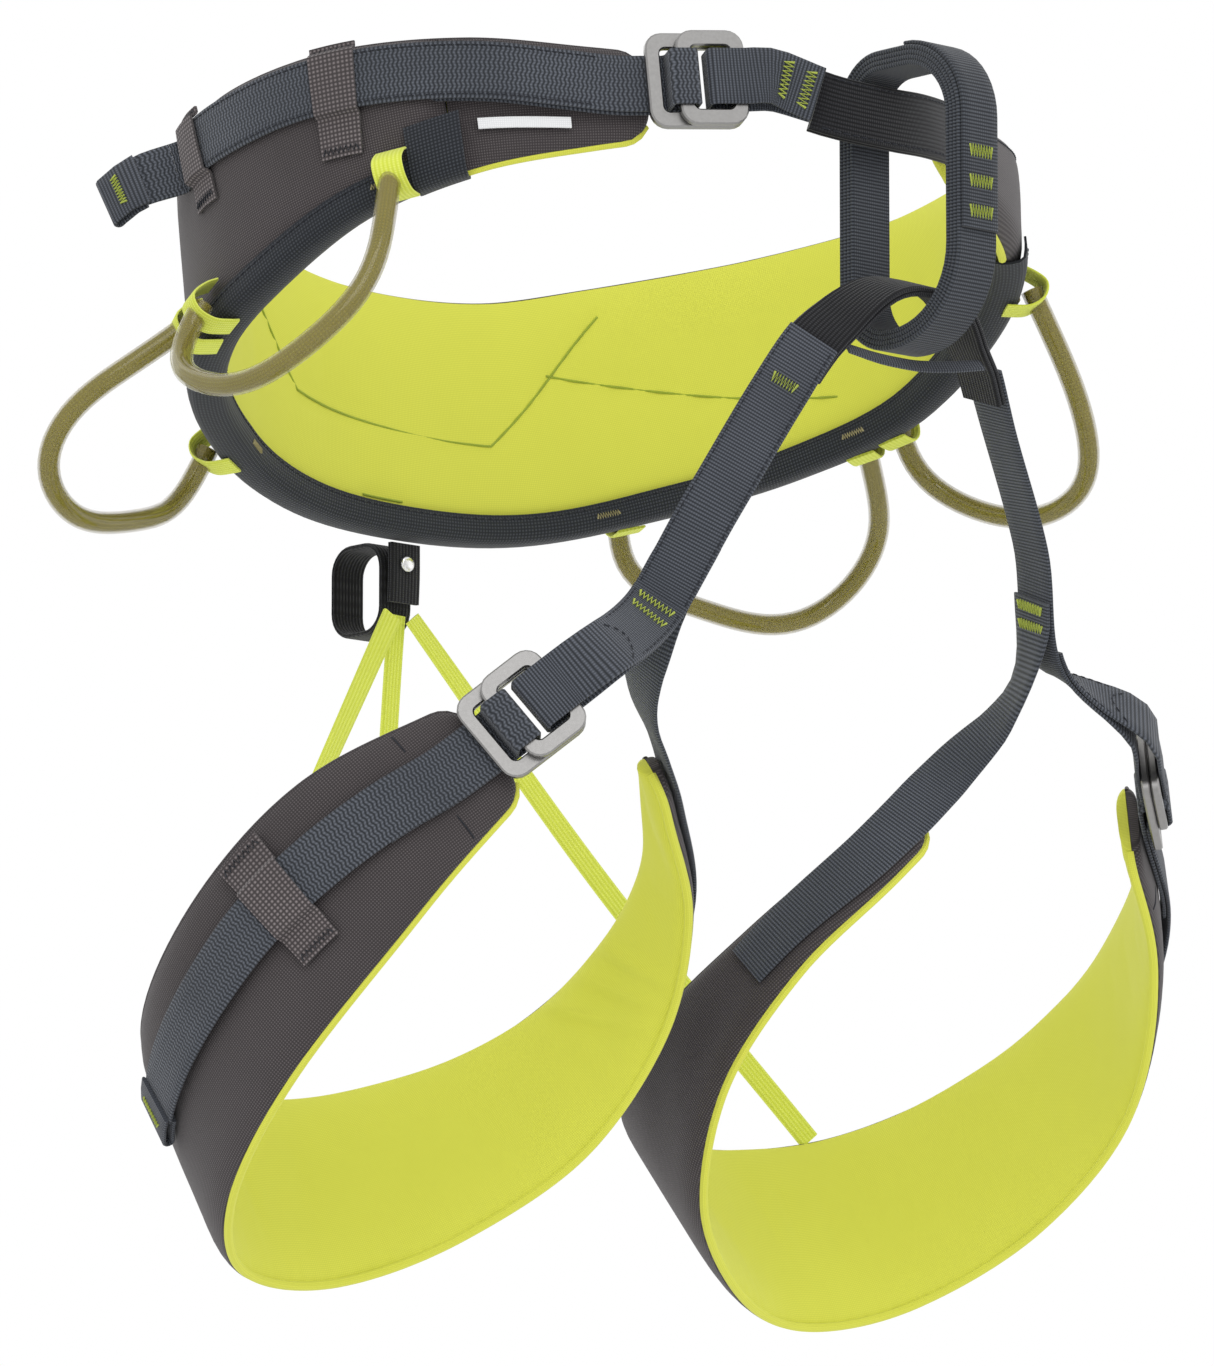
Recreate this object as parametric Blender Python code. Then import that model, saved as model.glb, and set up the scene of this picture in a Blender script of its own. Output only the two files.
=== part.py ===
"""Climbing harness: padded waist belt, belay loop and two adjustable leg loops.

Units are metres. Points chosen by hand are written in millimetres and scaled by MM.
Axes: +X is the wearer's left, -Y the wearer's front, +Z up.
The origin is the middle of the waist opening, where the wearer's waist holds the harness.

Everything sewn is laid out on "bands". A band is a smooth strip in space, and a place on it is
(run, across, out): the distance along it, the distance towards its upper edge, and the height
above its face. Layers of cloth, foam and webbing are solids swept along a band.
"""
import math

import bmesh
import bpy
import numpy as np

MM = 0.001
GAP = 0.3                    # clearance between neighbouring solids

WEBBING_WIDTH = 20.0
WEBBING_THICK = 1.4
TIE_IN_WIDTH = 22.0
CLOTH_THICK = 0.7
FOAM_HALF = 2.7
PANEL_TOP = FOAM_HALF + GAP + CLOTH_THICK          # outer face of the cloth on the foam
LINE_BASE = PANEL_TOP + 2.6 * GAP                  # where webbing starts above that cloth
SHELL_BASE = LINE_BASE + WEBBING_THICK + 2.6 * GAP # inner face of the belt's outer shell
FABRIC_STEP = 12.0
SPAN_POINTS = 14             # points a smooth curve gets between two stations

# Waist belt, wearer's left half from the back to the front: lower edge, upper edge.
WAIST_EDGES = [
    ((0, 121, -73), (0, 130, 15)),
    ((47, 118, -70), (49, 126, 18)),
    ((89, 105, -59), (93, 112, 28)),
    ((132, 74, -43), (137, 79, 40)),
    ((154, 32, -26), (158, 36, 50)),
    ((151, -16, -2), (153, -12, 58)),
    ((128, -55, 14), (128, -52, 60)),
    ((95, -80, 23), (93, -76, 58)),
    ((64, -96, 29), (62, -93, 56)),
    ((35, -109, 33), (34, -106, 54)),
]
WAIST_END_RIGHT = -362.0     # the belt closes on the wearer's right, so its right pad is shorter
WAIST_END_LEFT = 390.0
WAIST_SEAM = -308.0          # where the load webbing comes out of the shell, ahead of the buckle
REAR_KEEPER_RUN = -196.0     # where the tail leaves the belt
BINDING_END = 308.0
BINDING_DEPTH = 8.5

# How high the webbing runs on the belt: run, across.
WEBBING_HEIGHT = [(-390, 0), (-340, 3), (-295, 11), (-245, 18), (-195, 24), (0, 18), (245, 12),
                  (325, 4), (390, 0)]

# Leg loop, wearer's left leg, from behind the front strap, down the inner thigh, under the
# thigh and up the outside to the buckle: centre, direction of the upper edge, half width.
LEG_RING = [
    ((84, -108, -122), (0.6, 0.52, 0.6), 10),
    ((86, -100, -148), (0.4, 0.6, 0.6), 10),
    ((76, -82, -172), (0.0, 0.62, 0.78), 10.5),
    ((53, -68, -199), (-0.1, 0.68, 0.73), 11),
    ((26, -43, -231), (0.0, 0.86, 0.5), 15),
    ((16, -11, -265), (0.1, 0.86, 0.5), 23),
    ((30, 19, -296), (0.1, 0.75, 0.65), 31),
    ((66, 43, -316), (0.0, 0.6, 0.8), 36),
    ((112, 54, -325), (0.0, 0.45, 0.89), 37),
    ((157, 46, -320), (0.05, 0.45, 0.88), 37),
    ((190, 16, -300), (0.1, 0.5, 0.86), 36),
    ((203, -25, -266), (0.2, 0.53, 0.82), 34),
    ((187, -66, -221), (0.4, 0.53, 0.75), 30),
    ((151, -92, -188), (0.5, 0.55, 0.68), 19),
]
LEG_PAD_START = 82.0
LEG_LEAN = 0.08              # the leg loops hang slightly lower towards the wearer's right
LEG_MIDDLE = 112.0

# Front strap of the left leg, from the middle of the bridge to above the buckle.
LEG_STRAP = [
    ((0, -140, -24), (0.0, 0.95, 0.3)),
    ((15, -139, -26), (0.1, 0.92, 0.35)),
    ((34, -131, -42), (0.4, 0.75, 0.5)),
    ((50, -124, -65), (0.58, 0.56, 0.58)),
    ((72, -117, -102), (0.6, 0.52, 0.6)),
    ((92, -106, -142), (0.58, 0.53, 0.62)),
]
BRIDGE_LENGTH = 46.0
BRIDGE_THICK = 3.6
LEG_TAIL_LENGTH = 196.0      # tail of the leg webbing, measured past the end of the pad
WAIST_TAIL_LENGTH = 26.0     # free end of the belt webbing behind its rear keeper

BUCKLE_HALF_WIDTH = 17.0
BUCKLE_WINDOW_HALF = 11.4
BUCKLE_THICK = 3.0
BUCKLE_BAR = 5.0
OUTER_FRAME_PITCH = 29.0     # between the middles of the frame's two bars
INNER_FRAME_PITCH = 19.0
BUCKLE_TRAVEL = 3.0          # how far the outer frame slides when the buckle is loosened
STRAP_FOLD = 1.8             # radius of the strap's fold round the buckle bars
WEBBING_FOLD = 1.6           # radius of the webbing's folds round the near bar
STRAP_PARTING = [(26, 0.4), (16, 2.0)]  # the strap's layers part before the bar: distance, height
KEEPER_LIFT = 0.6            # a leg keeper's flat flaps stand off the curved pad
TAIL_TAB_LENGTH = 15.0

BELAY_MIDDLE = (0, -142, 11.5)
BELAY_PIVOT = (0, -126, 11.5)           # the loop turns about the tie-in webbing inside it
BELAY_HALF_DEPTH = 26.0
BELAY_HALF_HEIGHT = 47.0
BELAY_CORNER = 15.0
BELAY_WIDTH = 18.0
BELAY_THICK = 7.0

GEAR_TUBE_RADIUS = 4.0
GEAR_CORE_RADIUS = 2.6
GEAR_FRONT = [(170, -52, -30), (187, -38, -53), (190, -10, -62), (185, 27, -52), (174, 41, -38)]
GEAR_REAR = [(177, 62, -42), (193, 76, -57), (193, 92, -75), (171, 103, -90), (132, 113, -85),
             (106, 122, -75)]
GEAR_FRONT_RUNS = (274.0, 190.0)       # where a front loop leaves the belt
GEAR_REAR_RUNS = (177.0, 88.0)

HANGER_TAB = [(0, 123, -76.5), (0, 123, -88), (0, 123.5, -98)]
HANGER_WIDTH = 14.0
HAUL_MIDDLE = (0, 141, -92)
HAUL_PIVOT = (0, 141, -77)
HAUL_THICK = 1.8
RIVET_FACE = (0, 121.7, -84)
RIVET_PROFILE = [(3.0, 0.0), (3.0, 1.0), (2.0, 1.6)]   # radius, how far in front of its face
ELASTIC_TOP = (4.8, 124, -103)
SLACK_ROUTE = [(0, 127, -102), (-1, 128, -124), (-3, 128, -150)]
ELASTIC_WIDTH = 8.0
ELASTIC_THICK = 1.6

MATERIALS = {
    "shell_cloth": ((0.075, 0.06, 0.06), 0.85, 0.0),
    "lime_lining": ((0.55, 0.68, 0.08), 0.8, 0.0),
    "foam": ((0.5, 0.5, 0.48), 0.9, 0.0),
    "navy_webbing": ((0.03, 0.04, 0.055), 0.75, 0.0),
    "black_webbing": ((0.012, 0.012, 0.015), 0.75, 0.0),
    "keeper_elastic": ((0.1, 0.085, 0.08), 0.9, 0.0),
    "lime_elastic": ((0.6, 0.75, 0.1), 0.8, 0.0),
    "gear_tube": ((0.35, 0.3, 0.12), 0.25, 0.0),
    "gear_core": ((0.4, 0.45, 0.05), 0.7, 0.0),
    "buckle_alloy": ((0.62, 0.6, 0.58), 0.35, 1.0),
    "label_cloth": ((0.85, 0.86, 0.86), 0.7, 0.0),
    "rivet_steel": ((0.75, 0.75, 0.75), 0.3, 1.0),
}


def unit(vector):
    vector = np.asarray(vector, float)
    return vector / np.linalg.norm(vector)


def spline(rows, per_span=SPAN_POINTS):
    """Catmull-Rom curve through the rows; the first three columns set the spacing."""
    rows = np.array(rows, float)
    padded = np.vstack([2 * rows[0] - rows[1], rows, 2 * rows[-1] - rows[-2]])
    curve = []
    for i in range(len(rows) - 1):
        p0, p1, p2, p3 = padded[i:i + 4]
        t01, t12, t23 = (math.sqrt(np.linalg.norm((b - a)[:3])) for a, b in ((p0, p1), (p1, p2), (p2, p3)))
        m1 = t12 * ((p1 - p0) / t01 - (p2 - p0) / (t01 + t12) + (p2 - p1) / t12)
        m2 = t12 * ((p2 - p1) / t12 - (p3 - p1) / (t12 + t23) + (p3 - p2) / t23)
        for u in np.arange(per_span) / per_span:
            curve.append((2 * u**3 - 3 * u**2 + 1) * p1 + (u**3 - 2 * u**2 + u) * m1
                         + (3 * u**2 - 2 * u**3) * p2 + (u**3 - u**2) * m2)
    curve.append(rows[-1])
    return np.array(curve)


class Band:
    """A smooth strip: centre line, direction of its upper edge, half width. Millimetres."""

    def __init__(self, stations, hand=1, zero=0.0):
        rows = spline([[*centre, *across, half] for centre, across, half in stations])
        self.rows = rows
        self.hand = hand
        steps = np.linalg.norm(np.diff(rows[:, :3], axis=0), axis=1)
        self.run = np.concatenate([[0], np.cumsum(steps)]) - zero
        self.start, self.end = self.run[0], self.run[-1]

    def sample(self, run):
        return np.array([np.interp(run, self.run, column) for column in self.rows.T])

    def half(self, run):
        return self.sample(run)[6]

    def frame(self, run):
        """Centre, tangent, across and outward directions at a run."""
        reach = 1.5
        row = self.sample(run)
        low, high = max(run - reach, self.start), min(run + reach, self.end)
        tangent = unit(self.sample(high)[:3] - self.sample(low)[:3])
        across = unit(row[3:6] - tangent * (row[3:6] @ tangent))
        out = self.hand * np.cross(across, tangent)
        centre = row[:3]
        if run < self.start:
            centre = centre + tangent * (run - self.start)
        if run > self.end:
            centre = centre + tangent * (run - self.end)
        return centre, tangent, across, out

    def point(self, run, across=0.0, out=0.0):
        centre, _, across_dir, out_dir = self.frame(run)
        return centre + across_dir * across + out_dir * out


def steps(start, end, size=FABRIC_STEP):
    """Runs from start to end on a grid shared by all layers, so that stacked faces stay parallel."""
    low, high = sorted((start, end))
    grid = np.arange(math.ceil(low / size), math.floor(high / size) + 1) * size
    inner = [run for run in grid if low + size * 0.3 < run < high - size * 0.3]
    runs = [low, *inner, high]
    return runs if start < end else runs[::-1]


def make_material(name):
    if name in bpy.data.materials:
        return bpy.data.materials[name]
    colour, roughness, metallic = MATERIALS[name]
    material = bpy.data.materials.new(name)
    material.use_nodes = True
    shader = material.node_tree.nodes["Principled BSDF"]
    shader.inputs["Base Color"].default_value = (*colour, 1)
    shader.inputs["Roughness"].default_value = roughness
    shader.inputs["Metallic"].default_value = metallic
    return material


def add_object(name, bm, material, pivot=None, smooth=False):
    """Closed mesh in world millimetres, placed with its origin on the pivot of its joint."""
    pivot = np.zeros(3) if pivot is None else np.asarray(pivot, float)
    for vert in bm.verts:
        vert.co = [(value - shift) * MM for value, shift in zip(vert.co, pivot)]
    bmesh.ops.recalc_face_normals(bm, faces=bm.faces)
    mesh = bpy.data.meshes.new(name)
    bm.to_mesh(mesh)
    bm.free()
    if smooth:
        mesh.shade_smooth()
        mesh.set_sharp_from_angle(angle=math.radians(40))
    obj = bpy.data.objects.new(name, mesh)
    obj.location = [value * MM for value in pivot]
    mesh.materials.append(make_material(material))
    bpy.context.scene.collection.objects.link(obj)
    return obj


def loft(name, rings, material, closed=False, levels=None, **placing):
    """Solid through rings of points; the ends are capped, or joined when closed.

    Levels give each point of a ring its height on a band. Faces are then split from the lower
    point of one ring to the higher point of the next, so that stacked layers bend alike.
    """
    bm = bmesh.new()
    loops = [[bm.verts.new(point) for point in ring] for ring in rings]
    pairs = list(zip(loops, loops[1:]))
    if closed:
        pairs.append((loops[-1], loops[0]))
    for one, two in pairs:
        for i in range(len(one)):
            j = (i + 1) % len(one)
            if levels is None:
                bm.faces.new((one[i], one[j], two[j], two[i]))
            elif levels[i] <= levels[j]:
                bm.faces.new((one[i], one[j], two[j]))
                bm.faces.new((one[i], two[j], two[i]))
            else:
                bm.faces.new((one[i], one[j], two[i]))
                bm.faces.new((one[j], two[j], two[i]))
    if not closed:
        bm.faces.new(loops[0])
        bm.faces.new(loops[-1][::-1])
    return add_object(name, bm, material, **placing)


def sweep(name, band, runs, section, material, **placing):
    """Solid along a band; section(run) gives the outline as (across, out) pairs."""
    runs = list(runs)
    rings = [[band.point(run, across, out) for across, out in section(run)] for run in runs]
    rising = [across if runs[0] < runs[-1] else -across for across, _ in section(runs[0])]
    return loft(name, rings, material, levels=rising, **placing)


def slab(across_low, across_high, out_low, out_high):
    return [(across_low, out_low), (across_high, out_low), (across_high, out_high), (across_low, out_high)]


def folded_webbing(name, band, path, width, material, thick=WEBBING_THICK, **placing):
    """Webbing whose middle follows a path of (run, out) places on a band, folds included."""
    path = np.array(path, float)
    tangents = np.gradient(path, axis=0)
    tangents /= np.linalg.norm(tangents, axis=1)[:, None]
    rings = []
    for (run, out), (along, rise) in zip(path, tangents):
        inner = (run - rise * thick / 2, out + along * thick / 2)
        outer = (run + rise * thick / 2, out - along * thick / 2)
        corners = ((inner, -1), (inner, 1), (outer, 1), (outer, -1))
        rings.append([band.point(at, edge * width / 2, height) for (at, height), edge in corners])
    return loft(name, rings, material, **placing)


def arc(centre, radius, start_deg, end_deg, count=4):
    """Points on an arc in (run, out), angles from the run axis towards out."""
    angles = np.radians(np.linspace(start_deg, end_deg, count))
    return [(centre[0] + radius * math.cos(a), centre[1] + radius * math.sin(a)) for a in angles]


def tube_rings(points, radius, sides):
    """Circles along a smooth free curve, turned with the least twist."""
    points = np.asarray(points, float)
    side = unit(np.cross(points[1] - points[0], (0.3, 0.2, 1)))
    rings = []
    for i, point in enumerate(points):
        ahead = unit(points[min(i + 1, len(points) - 1)] - points[max(i - 1, 0)])
        side = unit(side - ahead * (side @ ahead))
        up = np.cross(ahead, side)
        angles = np.arange(sides) * 2 * math.pi / sides
        rings.append([point + radius * (side * math.cos(a) + up * math.sin(a)) for a in angles])
    return rings


def resample(points, spacing):
    """Evenly spaced points along a smooth curve through the given ones."""
    dense = spline(points)
    run = np.concatenate([[0], np.cumsum(np.linalg.norm(np.diff(dense, axis=0), axis=1))])
    wanted = np.linspace(0, run[-1], max(int(round(run[-1] / spacing)), 2) + 1)
    return np.stack([np.interp(wanted, run, column) for column in dense.T], axis=1)


def waist_band():
    def station(lower, upper, side):
        flip = np.array([side, 1, 1])
        lower, upper = np.array(lower) * flip, np.array(upper) * flip
        return (lower + upper) / 2, unit(upper - lower), np.linalg.norm(upper - lower) / 2

    right = [station(*edges, -1) for edges in reversed(WAIST_EDGES[1:])]
    left = [station(*edges, 1) for edges in WAIST_EDGES]
    whole = Band(right + left)
    return Band(right + left, zero=whole.end / 2)


def webbing_height(run):
    return np.interp(run, *zip(*WEBBING_HEIGHT))


def waist_line(waist):
    """The strap line: left pad, tie-in, buckle, over the right pad and off to the free tail."""
    def on_pad(run):
        _, _, across, _ = waist.frame(run)
        return waist.point(run, webbing_height(run), LINE_BASE), across, 1

    left_pad = [on_pad(run) for run in (320, 342, 364, 384)]
    _, tangent, across, _ = waist.frame(WAIST_END_RIGHT)
    end = on_pad(WAIST_END_RIGHT)[0]
    buckle = [(end + tangent * -reach, across, 1) for reach in (42, 30, 15, 0, -12)]
    right_pad = [on_pad(run) for run in (-330, -308, -286, -264, -242, -222, -205, -192, -182)]
    free_tail = [((-165, 72, 23), (0.1, 0.28, 1), 1), ((-169, 83, 16), (0.1, 0.3, 1), 1)]
    front = [((20, -121, 40), (0, 0.1, 1), 1), ((0, -125, 38.5), (0, 0.1, 1), 1),
             ((-22, -122, 40), (0, 0.1, 1), 1)]
    return Band(left_pad + front + buckle + right_pad + free_tail)


def leg_place(side, point):
    """A left-leg point moved to its own side, with the harness's slight lean."""
    x, y, z = point
    return np.array([side * x, y, z + side * LEG_LEAN * (x - LEG_MIDDLE)])


def leg_bands(side):
    """The ring that holds the thigh, and the strap line from the bridge over its outer face."""
    flip = np.array([side, 1, 1])
    ring = Band([(leg_place(side, c), unit(w) * flip, h) for c, w, h in LEG_RING], hand=side)
    strap = [(np.array(c) * flip, unit(w) * flip, 1) for c, w in LEG_STRAP]
    across_middle = (strap[1][0] * (-1, 1, 1), strap[1][1] * (-1, 1, 1), 1)
    _, tangent, across, _ = ring.frame(ring.end)
    end = ring.point(ring.end, 0, LINE_BASE)
    buckle = [(end + tangent * reach, across, 1) for reach in (44, 30, 8)]
    pad = []
    for back in (6, 20, 40, 60, 80, 100, 120, 140, 160, 180, 200):
        run = ring.end - back
        height = np.interp(back, (20, 90), (0, 8))
        pad.append((ring.point(run, height, LINE_BASE), ring.frame(run)[2], 1))
    middle_run = Band([across_middle] + strap + buckle + pad).run[SPAN_POINTS]
    return ring, Band([across_middle] + strap + buckle + pad, hand=-side, zero=middle_run)


# ---- waist belt ----

def make_waist_pad(waist):
    runs = steps(WAIST_END_RIGHT, WAIST_END_LEFT)
    inner_runs = sorted({*steps(WAIST_END_RIGHT + 2, WAIST_END_LEFT - 2), WAIST_SEAM - 2.0, WAIST_SEAM})

    def foam(run):
        half = waist.half(run) - 2.5
        top = FOAM_HALF if run < WAIST_SEAM - 1 else PANEL_TOP
        return slab(-half, half, -FOAM_HALF, top)

    def cloth(low):
        def section(run):
            half = waist.half(run)
            return slab(-half, half, low, low + CLOTH_THICK)
        return section

    sweep("waist_foam", waist, inner_runs, foam, "foam")
    sweep("waist_lining", waist, runs, cloth(-FOAM_HALF - GAP - CLOTH_THICK), "lime_lining")
    panel_runs = steps(WAIST_END_RIGHT, WAIST_SEAM - 2.5)
    sweep("waist_front_panel", waist, panel_runs, cloth(FOAM_HALF + GAP), "shell_cloth")
    sweep("waist_shell", waist, steps(WAIST_SEAM, WAIST_END_LEFT), cloth(SHELL_BASE), "shell_cloth")

    def binding(run):
        edge = -waist.half(run)
        outer, inner = SHELL_BASE + CLOTH_THICK + GAP, -FOAM_HALF - CLOTH_THICK - 2 * GAP
        return [(edge + BINDING_DEPTH, outer), (edge + BINDING_DEPTH, outer + 1), (edge - 1.3, outer + 1),
                (edge - 1.3, inner - 1), (edge + BINDING_DEPTH, inner - 1), (edge + BINDING_DEPTH, inner),
                (edge - GAP, inner), (edge - GAP, outer)]

    sweep("waist_binding", waist, steps(-BINDING_END + 4, BINDING_END), binding, "navy_webbing")

    def load(run):
        middle, half = webbing_height(run), WEBBING_WIDTH / 2
        return slab(middle - half, middle + half, LINE_BASE, LINE_BASE + WEBBING_THICK)

    sweep("waist_load_webbing", waist, steps(-256, 310), load, "navy_webbing")

    def label(run):
        return slab(-14, -8, LINE_BASE, LINE_BASE + 0.8)

    sweep("care_label", waist, steps(-342, -316), label, "label_cloth")


def frame_plate(name, band, bar_run, pitch, out_low, **placing):
    """Rectangular buckle frame with chamfered corners, lying on a straight stretch of its band."""
    middle = bar_run + pitch / 2
    centre, tangent, across, out = band.frame(middle)
    half_length = pitch / 2 + BUCKLE_BAR / 2

    def outline(long, wide, cut):
        return [(-long + cut, -wide), (long - cut, -wide), (long, -wide + cut), (long, wide - cut),
                (long - cut, wide), (-long + cut, wide), (-long, wide - cut), (-long, -wide + cut)]

    outer = outline(half_length, BUCKLE_HALF_WIDTH, 5.0)
    inner = outline(half_length - BUCKLE_BAR, BUCKLE_WINDOW_HALF, 1.2)
    bm = bmesh.new()
    rims = []
    for points, height in ((outer, 0), (outer, BUCKLE_THICK), (inner, BUCKLE_THICK), (inner, 0)):
        rims.append([bm.verts.new(centre + tangent * a + across * b + out * (out_low + height))
                     for a, b in points])
    for one, two in zip(rims, rims[1:] + rims[:1]):
        for i in range(8):
            bm.faces.new((one[i], one[(i + 1) % 8], two[(i + 1) % 8], two[i]))
    return add_object(name, bm, "buckle_alloy", **placing)


def make_buckle(prefix, suffix, band, bar_run, tail_out, tail_end, strap_start, lap_start, anchor_end):
    """Two-frame friction buckle: the strap holds both frames, the webbing doubles back round them."""
    layer = WEBBING_THICK + GAP
    frame_out = tail_out + layer
    inner_out = frame_out + BUCKLE_THICK + GAP
    top = inner_out + BUCKLE_THICK + GAP + WEBBING_THICK / 2
    low = tail_out + WEBBING_THICK / 2
    base = WEBBING_THICK / 2
    frame_plate(f"{prefix}_buckle_outer_frame{suffix}", band, bar_run, OUTER_FRAME_PITCH, frame_out)
    frame_plate(f"{prefix}_buckle_inner_frame{suffix}", band, bar_run, INNER_FRAME_PITCH, inner_out)

    mid = (low + top) / 2
    under, over = mid - layer / 2, mid + layer / 2
    fold = STRAP_FOLD
    loop_run = bar_run + BUCKLE_BAR / 2 + BUCKLE_TRAVEL + 1.5 - fold
    flat_end = bar_run - 34
    strap = [(run, under) for run in steps(strap_start, flat_end)] if strap_start < flat_end else []
    strap = strap or [(strap_start, under)]
    strap += [(bar_run - back, under - rise) for back, rise in STRAP_PARTING] + [(bar_run - 6, low)]
    strap += arc((loop_run, low + fold), fold, -90, 0) + arc((loop_run, top - fold), fold, 0, 90)
    strap += [(bar_run - 6, top)] + [(bar_run - back, over + rise) for back, rise in STRAP_PARTING[::-1]]
    lap = [(run, over) for run in steps(flat_end, lap_start)] if lap_start < flat_end else []
    strap += lap or [(lap_start, over)]
    name = "waist_buckle_strap" if prefix == "waist" else f"{prefix}_front_strap{suffix}"
    folded_webbing(name, band, strap, WEBBING_WIDTH, "navy_webbing")

    near_bar = bar_run + INNER_FRAME_PITCH
    fold = WEBBING_FOLD
    rise, fall = near_bar - BUCKLE_BAR / 2 - 1.9, near_bar + BUCKLE_BAR / 2 + 2.2
    web = [(run, base) for run in steps(anchor_end, rise + 4)]
    web += arc((rise + fold, base + fold), fold, 270, 180) + arc((rise + fold, top - fold), fold, 180, 90)
    web += arc((fall - fold, top - fold), fold, 90, 0) + arc((fall + fold, low + fold), fold, 180, 270)
    web += [(run, low) for run in steps(fall + 5, tail_end)]
    folded_webbing(f"{prefix}_webbing{suffix}", band, web, WEBBING_WIDTH, "navy_webbing")


def keeper_section(reach_low, reach_high, base, tail_top):
    """Elastic keeper seen along the webbing: flat flaps each side and a bridge over the tail."""
    wall, edge, thick = WEBBING_WIDTH / 2 + 0.5, WEBBING_WIDTH / 2 + 1.7, 1.0
    over = tail_top + GAP
    inside = [(-reach_low, base), (-wall, base), (-wall, over),
              (wall, over), (wall, base), (reach_high, base)]
    outside = [(reach_high, base), (edge, base), (edge, over),
               (-edge, over), (-edge, base), (-reach_low, base)]
    return inside + [(across, out + thick) for across, out in outside]


def make_keeper(name, band, run, length, reach_low, reach_high, base, tail_top, height=lambda run: 0.0):
    section = keeper_section(reach_low, reach_high, base, tail_top)

    def outline(at):
        return [(across + height(at), out) for across, out in section]

    sweep(name, band, steps(run - length / 2, run + length / 2, 6), outline, "keeper_elastic")


def make_tail_end(names, band, hinge, end, out):
    """Free end of a tail past its keeper, and the sewn roll that stops it pulling through."""
    half = WEBBING_WIDTH / 2
    pivot = band.point(hinge, 0, out + WEBBING_THICK)
    roll_start = end - TAIL_TAB_LENGTH

    def flat(_):
        return slab(-half, half, out, out + WEBBING_THICK)

    def roll(_):
        return slab(-half, half, out - 1.2, out + 4.2)

    sweep(names[0], band, steps(hinge + GAP, roll_start), flat, "navy_webbing", pivot=pivot)
    sweep(names[1], band, steps(roll_start + GAP, end), roll, "navy_webbing", pivot=pivot)


def make_waist_straps(waist):
    line = waist_line(waist)
    pad_run = line_run_near(line, waist.point(WAIST_END_RIGHT, 0, LINE_BASE))
    bar_run = pad_run - 29
    tie_end = bar_run - 30
    hinge = line.end - WAIST_TAIL_LENGTH
    shell_top = SHELL_BASE + CLOTH_THICK + GAP - LINE_BASE
    tail_out = shell_top + 2 * GAP
    make_buckle("waist", "", line, bar_run, tail_out, hinge, tie_end + 1, tie_end + 1, pad_run + 94)
    left_run = line_run_near(line, waist.point(WAIST_END_LEFT, 0, LINE_BASE))

    def tie_in(_):
        return slab(-TIE_IN_WIDTH / 2, TIE_IN_WIDTH / 2, 1.0, 5.0)

    sweep("tie_in_webbing", line, steps(left_run + 3, tie_end, 8), tie_in, "black_webbing")
    tail_top = tail_out + WEBBING_THICK
    make_keeper("waist_keeper_front", line, pad_run + 108, 16, 26, 13.5, shell_top, tail_top)
    make_keeper("waist_keeper_rear", waist, REAR_KEEPER_RUN, 13, 22, 14, shell_top + LINE_BASE,
                tail_top + LINE_BASE + 2 * GAP, webbing_height)
    make_tail_end(("waist_tail_end", "waist_tail_tab"), line, hinge, line.end, tail_out)


def line_run_near(band, point):
    """Run of the place on a band nearest to a point."""
    return band.run[int(np.argmin(np.linalg.norm(band.rows[:, :3] - point, axis=1)))]


# ---- belay loop, gear loops and the rear hangers ----

def rounded_box_path(half_depth, half_height, corner, per_corner=4):
    """Closed path of (y, z) places with round corners."""
    path = []
    for quarter, (sy, sz) in enumerate(((1, 1), (-1, 1), (-1, -1), (1, -1))):
        middle = (sy * (half_depth - corner), sz * (half_height - corner))
        for turn in np.linspace(0, 90, per_corner):
            angle = math.radians(90 * quarter + turn)
            path.append((middle[0] + corner * math.cos(angle), middle[1] + corner * math.sin(angle)))
    return path


def webbing_loop(name, middle, size, width, thick, per_corner=4, **placing):
    """Closed loop of webbing standing fore and aft; size is (half depth, half height, corner)."""
    x, y, z = middle
    inner, outer = (rounded_box_path(*(length + offset for length in size), per_corner)
                    for offset in (-thick / 2, thick / 2))
    rings = []
    for (y_in, z_in), (y_out, z_out) in zip(inner, outer):
        rings.append([(x - width / 2, y + y_in, z + z_in), (x + width / 2, y + y_in, z + z_in),
                      (x + width / 2, y + y_out, z + z_out), (x - width / 2, y + y_out, z + z_out)])
    loft(name, rings, "black_webbing", closed=True, **placing)


def make_gear_loops(waist):
    for side, side_name in ((1, "left"), (-1, "right")):
        routes = (("front", GEAR_FRONT, GEAR_FRONT_RUNS), ("rear", GEAR_REAR, GEAR_REAR_RUNS))
        for place, route, runs in routes:
            flip = np.array([side, 1, 1])
            ends = [waist.point(side * run, -waist.half(side * run) + 6, 13.4) for run in runs]
            first, last = ends
            tube = resample([first, *(np.array(point) * flip for point in route), last], 12)
            pivot = (first + last) / 2
            make_gear_tube(f"gear_tube_{place}_{side_name}", tube, pivot)
            rings = tube_rings(tube, GEAR_CORE_RADIUS, 6)
            loft(f"gear_core_{place}_{side_name}", rings, "gear_core", pivot=pivot, smooth=True)


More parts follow.
